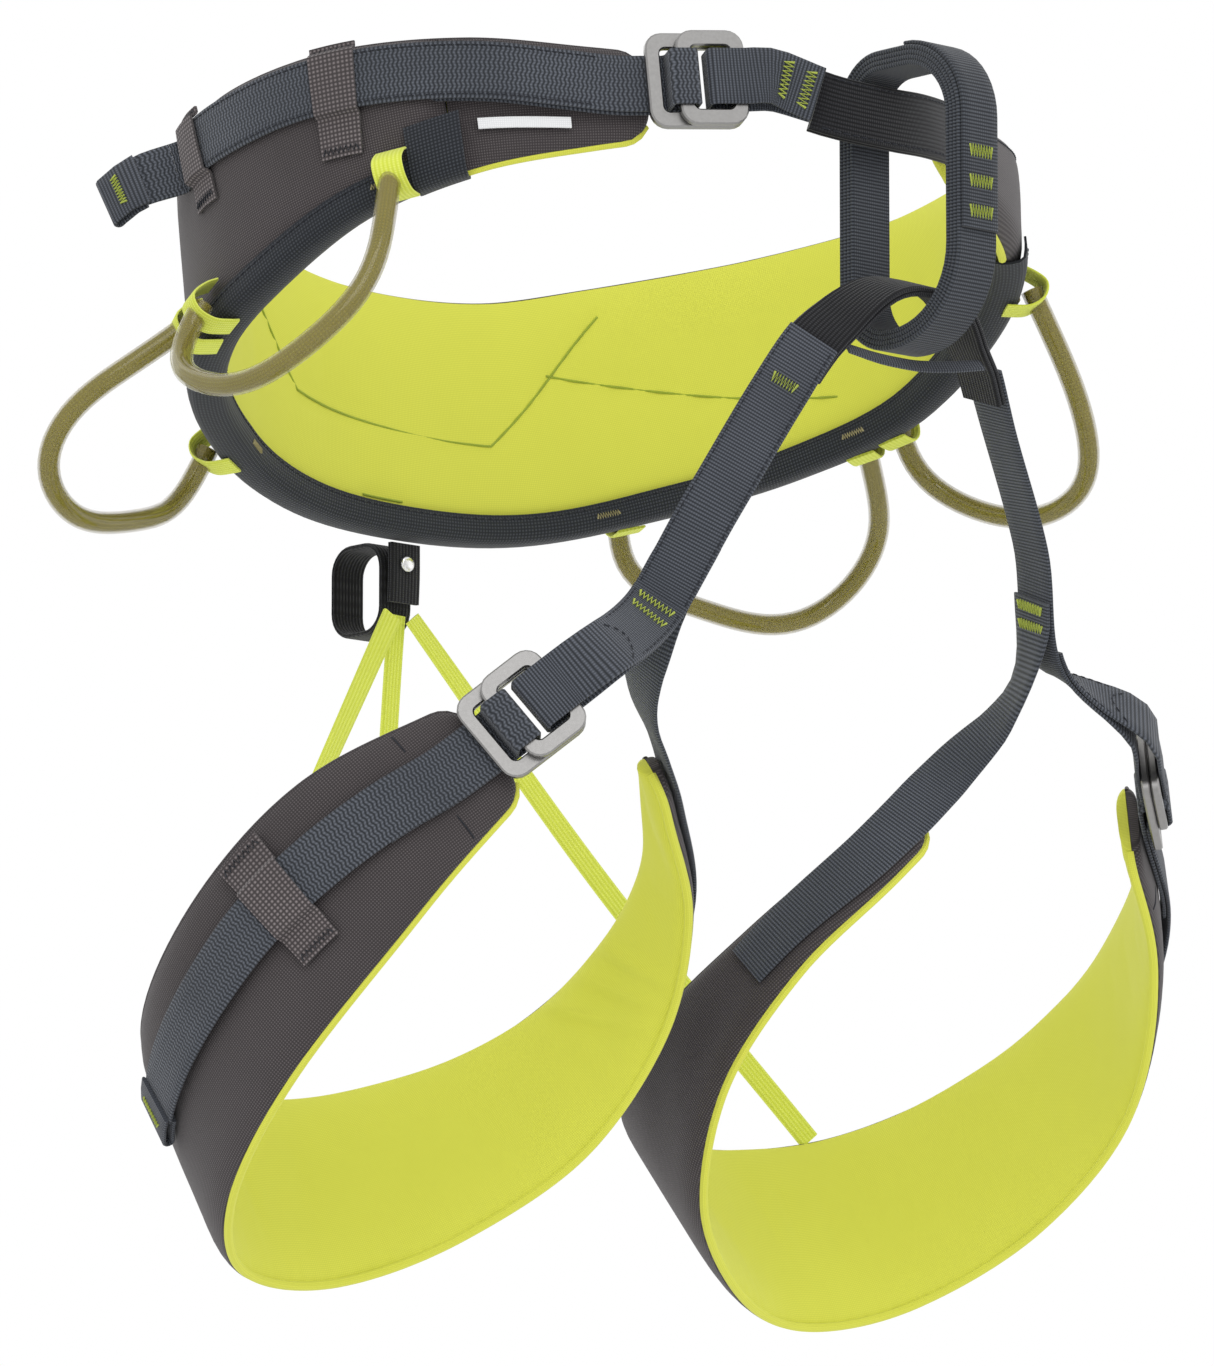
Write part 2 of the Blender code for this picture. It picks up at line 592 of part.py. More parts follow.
def make_gear_tube(name, points, pivot, sides=8):
    """Flexible tube, open at both ends, round the woven core."""
    outer = tube_rings(points, GEAR_TUBE_RADIUS, sides)
    inner = tube_rings(points, GEAR_CORE_RADIUS + GAP, sides)
    bm = bmesh.new()
    skins = [[[bm.verts.new(point) for point in ring] for ring in skin] for skin in (outer, inner)]
    for skin in skins:
        for one, two in zip(skin, skin[1:]):
            for i in range(sides):
                j = (i + 1) % sides
                bm.faces.new((one[i], one[j], two[j], two[i]))
    for end in (0, -1):
        one, two = skins[0][end], skins[1][end]
        for i in range(sides):
            j = (i + 1) % sides
            bm.faces.new((one[i], one[j], two[j], two[i]))
    add_object(name, bm, "gear_tube", pivot=pivot, smooth=True)


def make_rear_hangers(leg_rings):
    webbing_loop("haul_loop", HAUL_MIDDLE, (13, 16, 9), HANGER_WIDTH, HAUL_THICK, 3, pivot=HAUL_PIVOT)

    def hanger(_):
        return slab(-HANGER_WIDTH / 2, HANGER_WIDTH / 2, -1, 1)

    tab = Band([(point, (1, 0, 0), 1) for point in HANGER_TAB])
    sweep("hanger_tab", tab, steps(0, tab.end, 8), hanger, "black_webbing")
    x, y, z = RIVET_FACE
    rings = []
    for radius, forward in RIVET_PROFILE:
        rings.append([(x + radius * math.cos(angle), y - forward, z + radius * math.sin(angle))
                      for angle in np.arange(12) * math.pi / 6])
    loft("hanger_rivet", rings, "rivet_steel", smooth=True)

    def elastic(_):
        return slab(-ELASTIC_WIDTH / 2, ELASTIC_WIDTH / 2, -ELASTIC_THICK / 2, ELASTIC_THICK / 2)

    for side, name in ((1, "left"), (-1, "right")):
        ring = leg_rings[side]
        behind = ring.rows[:, 1] >= 20
        run = ring.run[int(np.argmin(abs(ring.rows[:, 0] - side * 150) + 1000 * ~behind))]
        foot = ring.point(run, ring.half(run) + 1.2, 0)
        across = unit(ring.frame(run)[1])
        top = np.array(ELASTIC_TOP) * (side, 1, 1)
        middle = (top + foot) / 2 + (0, 2, -4)
        band = Band([(top, (side, 0, 0), 4), (middle, across, 4), (foot, across, 4)], hand=side)
        sweep(f"elastic_{name}", band, steps(0, band.end, 22), elastic, "lime_elastic")
    slack = Band([(point, (1, 0, 0), 1) for point in SLACK_ROUTE])
    sweep("elastic_tail", slack, steps(0, slack.end), elastic, "lime_elastic", pivot=SLACK_ROUTE[0])


# ---- leg loops ----

def make_leg(side, name):
    ring, line = leg_bands(side)
    suffix = f"_{name}"
    pivot = (0, *LEG_STRAP[0][0][1:])
    pad_runs = steps(LEG_PAD_START, ring.end)

    def cloth(low, high, trim=0.0):
        def section(run):
            half = ring.half(run) - trim
            return slab(-half, half, low, high)
        return section

    foam_runs = steps(LEG_PAD_START + 3, ring.end - 3)
    foam = cloth(-FOAM_HALF, FOAM_HALF, 2)
    shell, lining = cloth(FOAM_HALF + GAP, PANEL_TOP), cloth(-PANEL_TOP, -FOAM_HALF - GAP)
    sweep("leg_foam" + suffix, ring, foam_runs, foam, "foam", pivot=pivot)
    sweep("leg_shell" + suffix, ring, pad_runs, shell, "shell_cloth", pivot=pivot)
    sweep("leg_lining" + suffix, ring, pad_runs, lining, "lime_lining", pivot=pivot)

    def inner_strap(run):
        low = np.interp(run, (0, 40, LEG_PAD_START - 8), (-1.5, 0, LINE_BASE))
        return slab(-10, 10, low, low + WEBBING_THICK)

    inner_runs = steps(0, LEG_PAD_START + 78)
    sweep("leg_inner_strap" + suffix, ring, inner_runs, inner_strap, "navy_webbing", pivot=pivot)

    def bridge(_):
        return slab(-WEBBING_WIDTH / 2, WEBBING_WIDTH / 2, 0, BRIDGE_THICK)

    bridge_runs = [GAP / 2, *steps(8, BRIDGE_LENGTH, 8)]
    sweep("leg_bridge" + suffix, line, bridge_runs, bridge, "black_webbing", pivot=pivot)

    pad_run = line_run_near(line, ring.point(ring.end, 0, LINE_BASE))
    bar_run = pad_run - 28
    tail_out = WEBBING_THICK + GAP
    keeper_run = pad_run + 88
    hinge = keeper_run + 10
    make_buckle("leg", suffix, line, bar_run, tail_out, hinge, BRIDGE_LENGTH + GAP, bar_run - 62,
                pad_run + 46)
    make_keeper("leg_keeper" + suffix, line, keeper_run, 17, 23, 22, KEEPER_LIFT, tail_out + WEBBING_THICK)
    make_tail_end(("leg_tail_end" + suffix, "leg_tail_tab" + suffix), line, hinge,
                  pad_run + LEG_TAIL_LENGTH, tail_out)

    end = line.point(40, -9.0, -1.4)
    middle = np.array([0, end[1] - 1, end[2] - 4])
    between = (end + middle) / 2 + (0, 0, -1.5)
    stations = [(between * (-1, 1, 1), (0, 0.5, 0.86), 3), (middle, (0, 0.5, 0.86), 3),
                (between, (0, 0.5, 0.86), 3), (end, (0, 0.6, 0.8), 3)]
    spacer = Band(stations, hand=-side, zero=Band(stations).run[SPAN_POINTS])

    def spacing(_):
        return slab(-3.5, 3.5, 0, 1.2)

    spacer_runs = [GAP / 2, *steps(8, spacer.end)]
    sweep("leg_spacer_strap" + suffix, spacer, spacer_runs, spacing, "black_webbing", pivot=pivot)
    return ring


def build():
    for obj in list(bpy.data.objects):
        bpy.data.objects.remove(obj)
    waist = waist_band()
    make_waist_pad(waist)
    make_waist_straps(waist)
    webbing_loop("belay_loop", BELAY_MIDDLE, (BELAY_HALF_DEPTH, BELAY_HALF_HEIGHT, BELAY_CORNER),
                 BELAY_WIDTH, BELAY_THICK, pivot=BELAY_PIVOT)
    make_gear_loops(waist)
    leg_rings = {side: make_leg(side, name) for side, name in ((1, "left"), (-1, "right"))}
    make_rear_hangers(leg_rings)


build()
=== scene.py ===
"""Looks of the climbing harness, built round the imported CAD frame.

Every sewn piece is laid out on the same bands as its CAD solid. A band is a smooth strip in
space, and a place on it is (run, across, out) in millimetres: the distance along it, the
distance towards its upper edge, and the height above its face. Each mesh carries a UV map in
metres of cloth, so weaves are drawn at their real pitch.
"""
import math

import bmesh
import bpy
import numpy as np
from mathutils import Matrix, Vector


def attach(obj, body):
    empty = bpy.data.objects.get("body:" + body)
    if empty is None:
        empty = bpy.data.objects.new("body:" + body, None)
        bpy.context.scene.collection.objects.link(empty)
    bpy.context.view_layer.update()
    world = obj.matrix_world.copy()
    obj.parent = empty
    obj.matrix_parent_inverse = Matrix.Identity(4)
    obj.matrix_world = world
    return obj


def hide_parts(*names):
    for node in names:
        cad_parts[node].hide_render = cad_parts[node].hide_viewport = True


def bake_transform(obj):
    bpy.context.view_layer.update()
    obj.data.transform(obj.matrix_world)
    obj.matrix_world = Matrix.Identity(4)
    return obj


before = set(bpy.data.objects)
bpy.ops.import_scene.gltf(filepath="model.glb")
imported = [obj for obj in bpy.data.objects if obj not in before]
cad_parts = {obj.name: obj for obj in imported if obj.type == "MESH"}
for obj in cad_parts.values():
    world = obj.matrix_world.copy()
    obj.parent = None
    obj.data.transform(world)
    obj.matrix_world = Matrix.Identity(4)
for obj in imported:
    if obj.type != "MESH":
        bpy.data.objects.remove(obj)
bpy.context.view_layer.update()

MM = 0.001
GAP = 0.3
WEBBING_WIDTH = 20.0
WEBBING_THICK = 1.4
TIE_IN_WIDTH = 22.0
CLOTH_THICK = 0.7
FOAM_HALF = 2.7
PANEL_TOP = FOAM_HALF + GAP + CLOTH_THICK
LINE_BASE = PANEL_TOP + 2.6 * GAP
SHELL_BASE = LINE_BASE + WEBBING_THICK + 2.6 * GAP
SPAN_POINTS = 14
CLOTH_SPLIT = 0.1            # inner and outer cloth each stand this far off the middle of a pad

WAIST_EDGES = [
    ((0, 121, -73), (0, 130, 15)),
    ((47, 118, -70), (49, 126, 18)),
    ((89, 105, -59), (93, 112, 28)),
    ((132, 74, -43), (137, 79, 40)),
    ((154, 32, -26), (158, 36, 50)),
    ((151, -16, -2), (153, -12, 58)),
    ((128, -55, 14), (128, -52, 60)),
    ((95, -80, 23), (93, -76, 58)),
    ((64, -96, 29), (62, -93, 56)),
    ((35, -109, 33), (34, -106, 54)),
]
WAIST_END_RIGHT = -362.0
WAIST_END_LEFT = 390.0
WAIST_SEAM = -293.0
WAIST_CORNERS = ((WAIST_END_RIGHT, 9.0), (WAIST_END_LEFT, 9.0))      # where a pad ends, corner radius
TOP_PIPING = (0.5, 0.75, "shell")            # how far out a piping sits, its radius and its cloth
WAIST_LOW_PIPING = (-0.4, 1.5, "lining")
LEG_LOW_PIPING = (-0.9, 1.6, "lining")
REAR_KEEPER_RUN = -196.0
BINDING_END = 308.0
WEBBING_HEIGHT = [(-390, 0), (-340, 3), (-295, 11), (-245, 18), (-195, 24), (0, 18), (245, 12),
                  (325, 4), (390, 0)]
LEG_RING = [
    ((84, -108, -122), (0.6, 0.52, 0.6), 10),
    ((86, -100, -148), (0.4, 0.6, 0.6), 10),
    ((76, -82, -172), (0.0, 0.62, 0.78), 10.5),
    ((53, -68, -199), (-0.1, 0.68, 0.73), 11),
    ((26, -43, -231), (0.0, 0.86, 0.5), 15),
    ((16, -11, -265), (0.1, 0.86, 0.5), 23),
    ((30, 19, -296), (0.1, 0.75, 0.65), 31),
    ((66, 43, -316), (0.0, 0.6, 0.8), 36),
    ((112, 54, -325), (0.0, 0.45, 0.89), 37),
    ((157, 46, -320), (0.05, 0.45, 0.88), 37),
    ((190, 16, -300), (0.1, 0.5, 0.86), 36),
    ((203, -25, -266), (0.2, 0.53, 0.82), 34),
    ((187, -66, -221), (0.4, 0.53, 0.75), 30),
    ((151, -92, -188), (0.5, 0.55, 0.68), 19),
]
LEG_PAD_START = 82.0
LEG_LEAN = 0.08
LEG_MIDDLE = 112.0
LEG_STRAP = [
    ((0, -140, -24), (0.0, 0.95, 0.3)),
    ((15, -139, -26), (0.1, 0.92, 0.35)),
    ((34, -131, -42), (0.4, 0.75, 0.5)),
    ((50, -124, -65), (0.58, 0.56, 0.58)),
    ((72, -117, -102), (0.6, 0.52, 0.6)),
    ((92, -106, -142), (0.58, 0.53, 0.62)),
]
LEFT_STRAP_TURN = (0, 8, 28, 40, 42, 36)   # the left strap hangs turned: degrees at each station
BRIDGE_LENGTH = 46.0
BRIDGE_THICK = 3.6
JOIN_LENGTH = 26.0           # how long the inner strap lies against the back of the front strap
STRAP_UNDER = 4.1            # middle of webbing that lies against that back
LEG_TAIL_LENGTH = 196.0
WAIST_TAIL_LENGTH = 26.0
TAIL_SLIT = 0.03             # slit between a strap and its free end, closed while it hangs
BUCKLE_HALF_WIDTH = 17.0
BUCKLE_WINDOW_HALF = 11.4
BUCKLE_THICK = 3.0
BUCKLE_BAR = 5.0
OUTER_FRAME_PITCH = 29.0
INNER_FRAME_PITCH = 19.0
BUCKLE_TRAVEL = 3.0
KEEPER_LIFT = 0.6
BELAY_MIDDLE = (0, -142, 8.5)
BELAY_HALF_DEPTH = 26.0
BELAY_HALF_HEIGHT = 49.0
BELAY_CORNERS = (15.0, 24.0, 30.0, 20.0)     # rear top, front top, front bottom, rear bottom
BELAY_WIDTH = 18.0
BELAY_THICK = 7.0
BELAY_LAP_END = -8.0         # height of the lower end of the sewn lap
BELAY_LAP_THICK = 1.5
GEAR_TUBE_RADIUS = 4.0
GEAR_CORE_RADIUS = 3.0
GEAR_FRONT = [(170, -52, -30), (187, -38, -53), (190, -10, -62), (185, 27, -52), (174, 41, -38)]
GEAR_REAR = [(177, 62, -42), (193, 76, -57), (193, 92, -75), (171, 103, -90), (132, 113, -85),
             (106, 122, -75)]
GEAR_FRONT_RUNS = (274.0, 190.0)
GEAR_REAR_RUNS = (177.0, 88.0)
GEAR_TAB_ROUTE = [(13.5, 8.2), (12, 12.5), (7.5, 18.2), (2, 17.2), (-1.8, 12), (-2.3, 6.5), (-2.2, 3)]
HANGER_TAB = [(0, 123, -76.5), (0, 123, -88), (0, 123.5, -98)]
HAUL_MIDDLE = (0, 141, -92)
RIVET_FACE = (0, 121.7, -84)
RIVET_PROFILE = [(3.0, 0.0), (3.0, 0.8), (2.7, 1.2), (2.0, 1.55), (1.0, 1.7), (0.3, 1.72)]
ELASTIC_TOP = (4.8, 124, -103)
ELASTIC_THICK = 1.6
SLACK_ROUTE = [(0, 127, -102), (-1, 128, -124), (-3, 128, -150)]
SIDES = ((1, "left"), (-1, "right"))


# ---- bands and frames along them ----

def unit(vector):
    vector = np.asarray(vector, float)
    return vector / np.linalg.norm(vector)


def spline(rows, per_span=SPAN_POINTS):
    """Catmull-Rom curve through the rows; the first three columns set the spacing."""
    rows = np.array(rows, float)
    padded = np.vstack([2 * rows[0] - rows[1], rows, 2 * rows[-1] - rows[-2]])
    curve = []
    for i in range(len(rows) - 1):
        p0, p1, p2, p3 = padded[i:i + 4]
        t01, t12, t23 = (math.sqrt(np.linalg.norm((b - a)[:3])) for a, b in ((p0, p1), (p1, p2), (p2, p3)))
        m1 = t12 * ((p1 - p0) / t01 - (p2 - p0) / (t01 + t12) + (p2 - p1) / t12)
        m2 = t12 * ((p2 - p1) / t12 - (p3 - p1) / (t12 + t23) + (p3 - p2) / t23)
        for u in np.arange(per_span) / per_span:
            curve.append((2 * u**3 - 3 * u**2 + 1) * p1 + (u**3 - 2 * u**2 + u) * m1
                         + (3 * u**2 - 2 * u**3) * p2 + (u**3 - u**2) * m2)
    curve.append(rows[-1])
    return np.array(curve)


class Band:
    """A smooth strip: centre line, direction of its upper edge, half width. Millimetres."""

    def __init__(self, stations, hand=1, zero=0.0):
        rows = spline([[*centre, *across, half] for centre, across, half in stations])
        self.rows = rows
        self.hand = hand
        steps_between = np.linalg.norm(np.diff(rows[:, :3], axis=0), axis=1)
        self.run = np.concatenate([[0], np.cumsum(steps_between)]) - zero
        self.start, self.end = self.run[0], self.run[-1]

    def sample(self, run):
        return np.array([np.interp(run, self.run, column) for column in self.rows.T])

    def half(self, run):
        return self.sample(run)[6]

    def frame(self, run):
        """Centre, tangent, across and outward directions at a run."""
        reach = 1.5
        row = self.sample(run)
        low, high = max(run - reach, self.start), min(run + reach, self.end)
        tangent = unit(self.sample(high)[:3] - self.sample(low)[:3])
        across = unit(row[3:6] - tangent * (row[3:6] @ tangent))
        out = self.hand * np.cross(across, tangent)
        centre = row[:3]
        if run < self.start:
            centre = centre + tangent * (run - self.start)
        if run > self.end:
            centre = centre + tangent * (run - self.end)
        return centre, tangent, across, out

    def point(self, run, across=0.0, out=0.0):
        centre, _, across_dir, out_dir = self.frame(run)
        return centre + across_dir * across + out_dir * out

    def nearest(self, point):
        return self.run[int(np.argmin(np.linalg.norm(self.rows[:, :3] - point, axis=1)))]


def steps(start, end, size=4.0):
    count = max(int(round(abs(end - start) / size)), 1)
    return list(np.linspace(start, end, count + 1))


def waist_band():
    def station(lower, upper, side):
        flip = np.array([side, 1, 1])
        lower, upper = np.array(lower) * flip, np.array(upper) * flip
        return (lower + upper) / 2, unit(upper - lower), np.linalg.norm(upper - lower) / 2

    right = [station(*edges, -1) for edges in reversed(WAIST_EDGES[1:])]
    left = [station(*edges, 1) for edges in WAIST_EDGES]
    whole = Band(right + left)
    return Band(right + left, zero=whole.end / 2)


def webbing_height(run):
    return np.interp(run, *zip(*WEBBING_HEIGHT))


def waist_line(waist):
    """The strap line: left pad, tie-in, buckle, over the right pad and off to the free tail."""
    def on_pad(run):
        return waist.point(run, webbing_height(run), LINE_BASE), waist.frame(run)[2], 1

    left_pad = [on_pad(run) for run in (320, 342, 364, 384)]
    _, tangent, across, _ = waist.frame(WAIST_END_RIGHT)
    end = on_pad(WAIST_END_RIGHT)[0]
    buckle = [(end + tangent * -reach, across, 1) for reach in (42, 30, 15, 0, -12)]
    right_pad = [on_pad(run) for run in (-330, -308, -286, -264, -242, -222, -205, -192, -182)]
    free_tail = [((-165, 72, 23), (0.1, 0.28, 1), 1), ((-169, 83, 16), (0.1, 0.3, 1), 1)]
    front = [((20, -121, 40), (0, 0.1, 1), 1), ((0, -125, 38.5), (0, 0.1, 1), 1),
             ((-22, -122, 40), (0, 0.1, 1), 1)]
    return Band(left_pad + front + buckle + right_pad + free_tail)


def leg_place(side, point):
    """A left-leg point moved to its own side, with the harness's slight lean."""
    x, y, z = point
    return np.array([side * x, y, z + side * LEG_LEAN * (x - LEG_MIDDLE)])


def turned(stations, degrees):
    """Stations of a left-hand strap, turned about its own length to show its inner face."""
    centres = np.array([centre for centre, _, _ in stations], float)
    tangents = np.gradient(centres, axis=0)
    result = []
    for (centre, across, half), tangent, degree in zip(stations, tangents, degrees):
        tangent = unit(tangent)
        across = unit(across - tangent * (across @ tangent))
        angle = math.radians(degree)
        turned_across = across * math.cos(angle) + np.cross(across, tangent) * math.sin(angle)
        result.append((centre, turned_across, half))
    return result


def leg_bands(side):
    """The ring that holds the thigh, and the strap line from the bridge over its outer face."""
    flip = np.array([side, 1, 1])
    ring = Band([(leg_place(side, c), unit(w) * flip, h) for c, w, h in LEG_RING], hand=side)
    strap = [(np.array(c) * flip, unit(w) * flip, 1) for c, w in LEG_STRAP]
    if side > 0:
        strap = turned(strap, LEFT_STRAP_TURN)
    across_middle = (strap[1][0] * (-1, 1, 1), strap[1][1] * (-1, 1, 1), 1)
    _, tangent, across, _ = ring.frame(ring.end)
    end = ring.point(ring.end, 0, LINE_BASE)
    buckle = [(end + tangent * reach, across, 1) for reach in (44, 30, 8)]
    pad = []
    for back in (6, 20, 40, 60, 80, 100, 120, 140, 160, 180, 200):
        run = ring.end - back
        pad.append((ring.point(run, np.interp(back, (20, 90), (0, 8)), LINE_BASE), ring.frame(run)[2], 1))
    stations = [across_middle] + strap + buckle + pad
    return ring, Band(stations, hand=-side, zero=Band(stations).run[SPAN_POINTS])


def at_run(value, run):
    """A value that is either fixed or a function of the run."""
    return value(run) if callable(value) else value


def band_frames(band, runs, across=0.0, out=0.0):
    """(centre, across direction, normal, length so far) at each run of a band."""
    frames = []
    for run in runs:
        _, _, across_dir, out_dir = band.frame(run)
        frames.append((band.point(run, at_run(across, run), at_run(out, run)), across_dir, out_dir, run))
    return frames


def loop_frames(middle, path, lengths):
    """Frames round a closed loop of webbing that lies in a plane of equal x; path holds (y, z) pairs."""
    slopes = np.roll(path, -1, axis=0) - np.roll(path, 1, axis=0)
    frames = []
    for (y, z), slope, length in zip(path, slopes, lengths):
        along_y, along_z = unit(slope)
        centre = np.array([0, middle[1] + y, middle[2] + z])
        frames.append((centre, np.array([1.0, 0, 0]), np.array([0, along_z, -along_y]), length))
    return frames


def plain_band(points, half=1.0):
    """A band through points of the middle plane, wide along x."""
    return Band([(point, (1, 0, 0), half) for point in points])


def path_frames(band, path):
    """The same along a path of (run, out) places that may fold back over itself."""
    path = np.array(path, float)
    slopes = np.gradient(path, axis=0)
    slopes /= np.linalg.norm(slopes, axis=1)[:, None]
    lengths = np.concatenate([[0], np.cumsum(np.linalg.norm(np.diff(path, axis=0), axis=1))])
    frames = []
    for (run, out), (along, rise), length in zip(path, slopes, lengths):
        _, tangent, across, out_dir = band.frame(run)
        frames.append((band.point(run, 0, out), across, out_dir * along - tangent * rise, length))
    return frames


def arc(centre, radius, start_deg, end_deg, count=9):
    angles = np.radians(np.linspace(start_deg, end_deg, count))
    return [(centre[0] + radius * math.cos(a), centre[1] + radius * math.sin(a)) for a in angles]


# ---- meshes ----

def grid_mesh(name, rings, coords, kind, closed=False, sharp_deg=42):
    """Closed mesh through rings of points (mm), with a UV map from coords (mm of cloth)."""
    rings, coords = np.asarray(rings, float), np.asarray(coords, float)
    count, size = rings.shape[:2]
    index = np.arange(count * size).reshape(count, size)
    spans = range(count if closed else count - 1)
    faces, corners = [], []
    for i in spans:
        k = (i + 1) % count
        for j in range(size):
            m = (j + 1) % size
            faces.append((index[i, j], index[i, m], index[k, m], index[k, j]))
            ahead = coords[k] if k else coords[0] + (2 * coords[-1] - coords[-2] - coords[0]) * (1, 0)
            corners += [coords[i, j], coords[i, m], ahead[m], ahead[j]]
    if not closed:
        for i, order in ((0, range(size)), (count - 1, reversed(range(size)))):
            order = list(order)
            faces.append(tuple(index[i, j] for j in order))
            corners += [coords[i, j] for j in order]
    mesh = bpy.data.meshes.new(name)
    mesh.from_pydata((rings.reshape(-1, 3) * MM).tolist(), [], [tuple(map(int, face)) for face in faces])
    layer = mesh.uv_layers.new(name="cloth")
    layer.data.foreach_set("uv", (np.array(corners) * MM).ravel())
    return finish_mesh(name, mesh, kind, sharp_deg)


def finish_mesh(name, mesh, kind, sharp_deg=42):
    bm = bmesh.new()
    bm.from_mesh(mesh)
    bmesh.ops.recalc_face_normals(bm, faces=bm.faces)
    bm.to_mesh(mesh)
    bm.free()
    mesh.shade_smooth()
    mesh.set_sharp_from_angle(angle=math.radians(sharp_deg))
    mesh.materials.append(MATERIALS[kind])
    obj = bpy.data.objects.new(name, mesh)
    bpy.context.scene.collection.objects.link(obj)
    return obj


def ribbon_outline(half, thick, layers=1):
    """Flat outline with soft edges; more layers show as grooves along both edges."""
    step = thick / layers
    side = []
    for layer in range(layers):
        low = -thick / 2 + layer * step
        side += [(half - 0.55, low), (half, low + step * 0.3), (half, low + step * 0.7)]
    side.append((half - 0.55, thick / 2))
    flat = [(half * share, thick / 2) for share in (0.5, 0.0, -0.5)]
    other = [(-across, out) for across, out in reversed(side)]
    under = [(across, -thick / 2) for across in (-half * 0.5, 0.0, half * 0.5)]
    return side + flat + other + under


def ribbon(name, frames, half, thick, kind, layers=1, closed=False):
    """Webbing of that half width and thickness whose middle follows the frames."""
    outline = ribbon_outline(half, thick, layers)
    rings = [[centre + across * a + normal * n for a, n in outline] for centre, across, normal, _ in frames]
    coords = [[(length, a) for a, _ in outline] for *_, length in frames]
    return grid_mesh(name, rings, coords, kind, closed=closed)


def webbing(name, frames, kind):
    """Webbing of the harness's main width and thickness."""
    return ribbon(name, frames, WEBBING_WIDTH / 2, WEBBING_THICK, kind)


def outline_sweep(name, frames, outline, kind):
    """Any outline of (across, out) pairs along frames; the UV runs round the outline."""
    rings, coords = [], []
    for centre, across, normal, length in frames:
        places = outline(length) if callable(outline) else outline
        rings.append([centre + across * a + normal * n for a, n in places])
        round_it = np.concatenate([[0], np.cumsum(np.linalg.norm(np.diff(places, axis=0), axis=1))])
        coords.append([(length, girth) for girth in round_it])
    return grid_mesh(name, rings, coords, kind)


def thicken(path, thick):
    """Outline round an open path in a plane, half the thickness to each side."""
    path = np.array(path, float)
    slopes = np.gradient(path, axis=0)
    slopes /= np.linalg.norm(slopes, axis=1)[:, None]
    normals = np.stack([-slopes[:, 1], slopes[:, 0]], axis=1) * thick / 2
    return [tuple(p) for p in path + normals] + [tuple(p) for p in (path - normals)[::-1]]


def tube_rings(points, radius, sides):
    points = np.asarray(points, float)
    side = unit(np.cross(points[1] - points[0], (0.3, 0.2, 1)))
    rings = []
    for i, point in enumerate(points):
        ahead = unit(points[min(i + 1, len(points) - 1)] - points[max(i - 1, 0)])
        side = unit(side - ahead * (side @ ahead))
        up = np.cross(ahead, side)
        angles = np.arange(sides) * 2 * math.pi / sides
        rings.append([point + radius * (side * math.cos(a) + up * math.sin(a)) for a in angles])
    return rings


def tube(name, points, radius, sides, kind):
    rings = tube_rings(points, radius, sides)
    lengths = np.concatenate([[0], np.cumsum(np.linalg.norm(np.diff(points, axis=0), axis=1))])
    girth = np.arange(sides) * 2 * math.pi * radius / sides
    coords = [[(length, around) for around in girth] for length in lengths]
    return grid_mesh(name, rings, coords, kind)


def threads(name, paths, radius, kind, sides=5):
    """One mesh of many short threads: running stitches and the zigzags of bar tacks."""
    points, faces = [], []
    for path in paths:
        first = len(points)
        rings = tube_rings(path, radius, sides)
        for ring in rings:
            points += ring
        for i in range(len(rings) - 1):
            for j in range(sides):
                k = (j + 1) % sides
                low, high = first + i * sides, first + (i + 1) * sides
                faces.append((low + j, low + k, high + k, high + j))
        faces.append(tuple(range(first, first + sides)))
        faces.append(tuple(reversed(range(len(points) - sides, len(points)))))
    mesh = bpy.data.meshes.new(name)
    mesh.from_pydata((np.array(points) * MM).tolist(), [], faces)
    mesh.uv_layers.new(name="cloth")
    return finish_mesh(name, mesh, kind, 80)


def stitch_run(band, start, end, across, out, pitch=3.0):
    """Running stitches along a band; across and out may change with the run."""
    paths = []
    for middle in np.arange(start + pitch / 2, end, pitch):
        path = []
        for share, rise in ((-0.38, -0.25), (-0.2, 0.12), (0.2, 0.12), (0.38, -0.25)):
            run = middle + share * pitch
            path.append(band.point(run, at_run(across, run), at_run(out, run) + rise))
        paths.append(path)
    return paths


def stitch_pair(band, start, end, across, out, pitch=3.0):
    """Running stitches along both edges of a strap."""
    return [row for side in (-1, 1) for row in stitch_run(band, start, end, side * across, out, pitch)]


def bar_tack(band, run, across, out, width=13.0, tall=3.4, zigs=8, lengthwise=False):
    """Zigzag bar tack centred on a place; it crosses the webbing, or runs along it."""
    path = []
    for i in range(zigs * 2 + 1):
        sweep = (i / (zigs * 2) - 0.5) * width
        swing = (tall / 2) * (1 if i % 2 else -1)
        along, over = (sweep, swing) if lengthwise else (swing, sweep)
        path.append(band.point(run + along, across + over, out + 0.2))
    return path


def resample(points, spacing):
    dense = spline(points)
    run = np.concatenate([[0], np.cumsum(np.linalg.norm(np.diff(dense, axis=0), axis=1))])
    wanted = np.linspace(0, run[-1], max(int(round(run[-1] / spacing)), 2) + 1)
    return np.stack([np.interp(wanted, run, column) for column in dense.T], axis=1)


def relax(points, passes):
    """Evens out the bends of a springy tube; its two ends stay where they are."""
    points = np.array(points)
    for _ in range(passes):
        points[1:-1] = (points[:-2] + 2 * points[1:-1] + points[2:]) / 4
    return points


def pad_runs(start, end, size):
    """Runs along a pad, closer together at its round corners."""
    corner = [0.0, 0.4, 1.2]
    middle = steps(start + 2.6, end - 2.6, size)
    return [start + at for at in corner] + middle + [end - at for at in corner[::-1]]


def end_inset(run, ends):
    """How far a pad's round corner draws its edge in at a run; ends are (run, radius)."""
    inset = 0.0
    for end, radius in ends:
        short = radius - abs(run - end)
        if short > 0:
            inset = max(inset, radius - math.sqrt(radius**2 - short**2))
    return inset


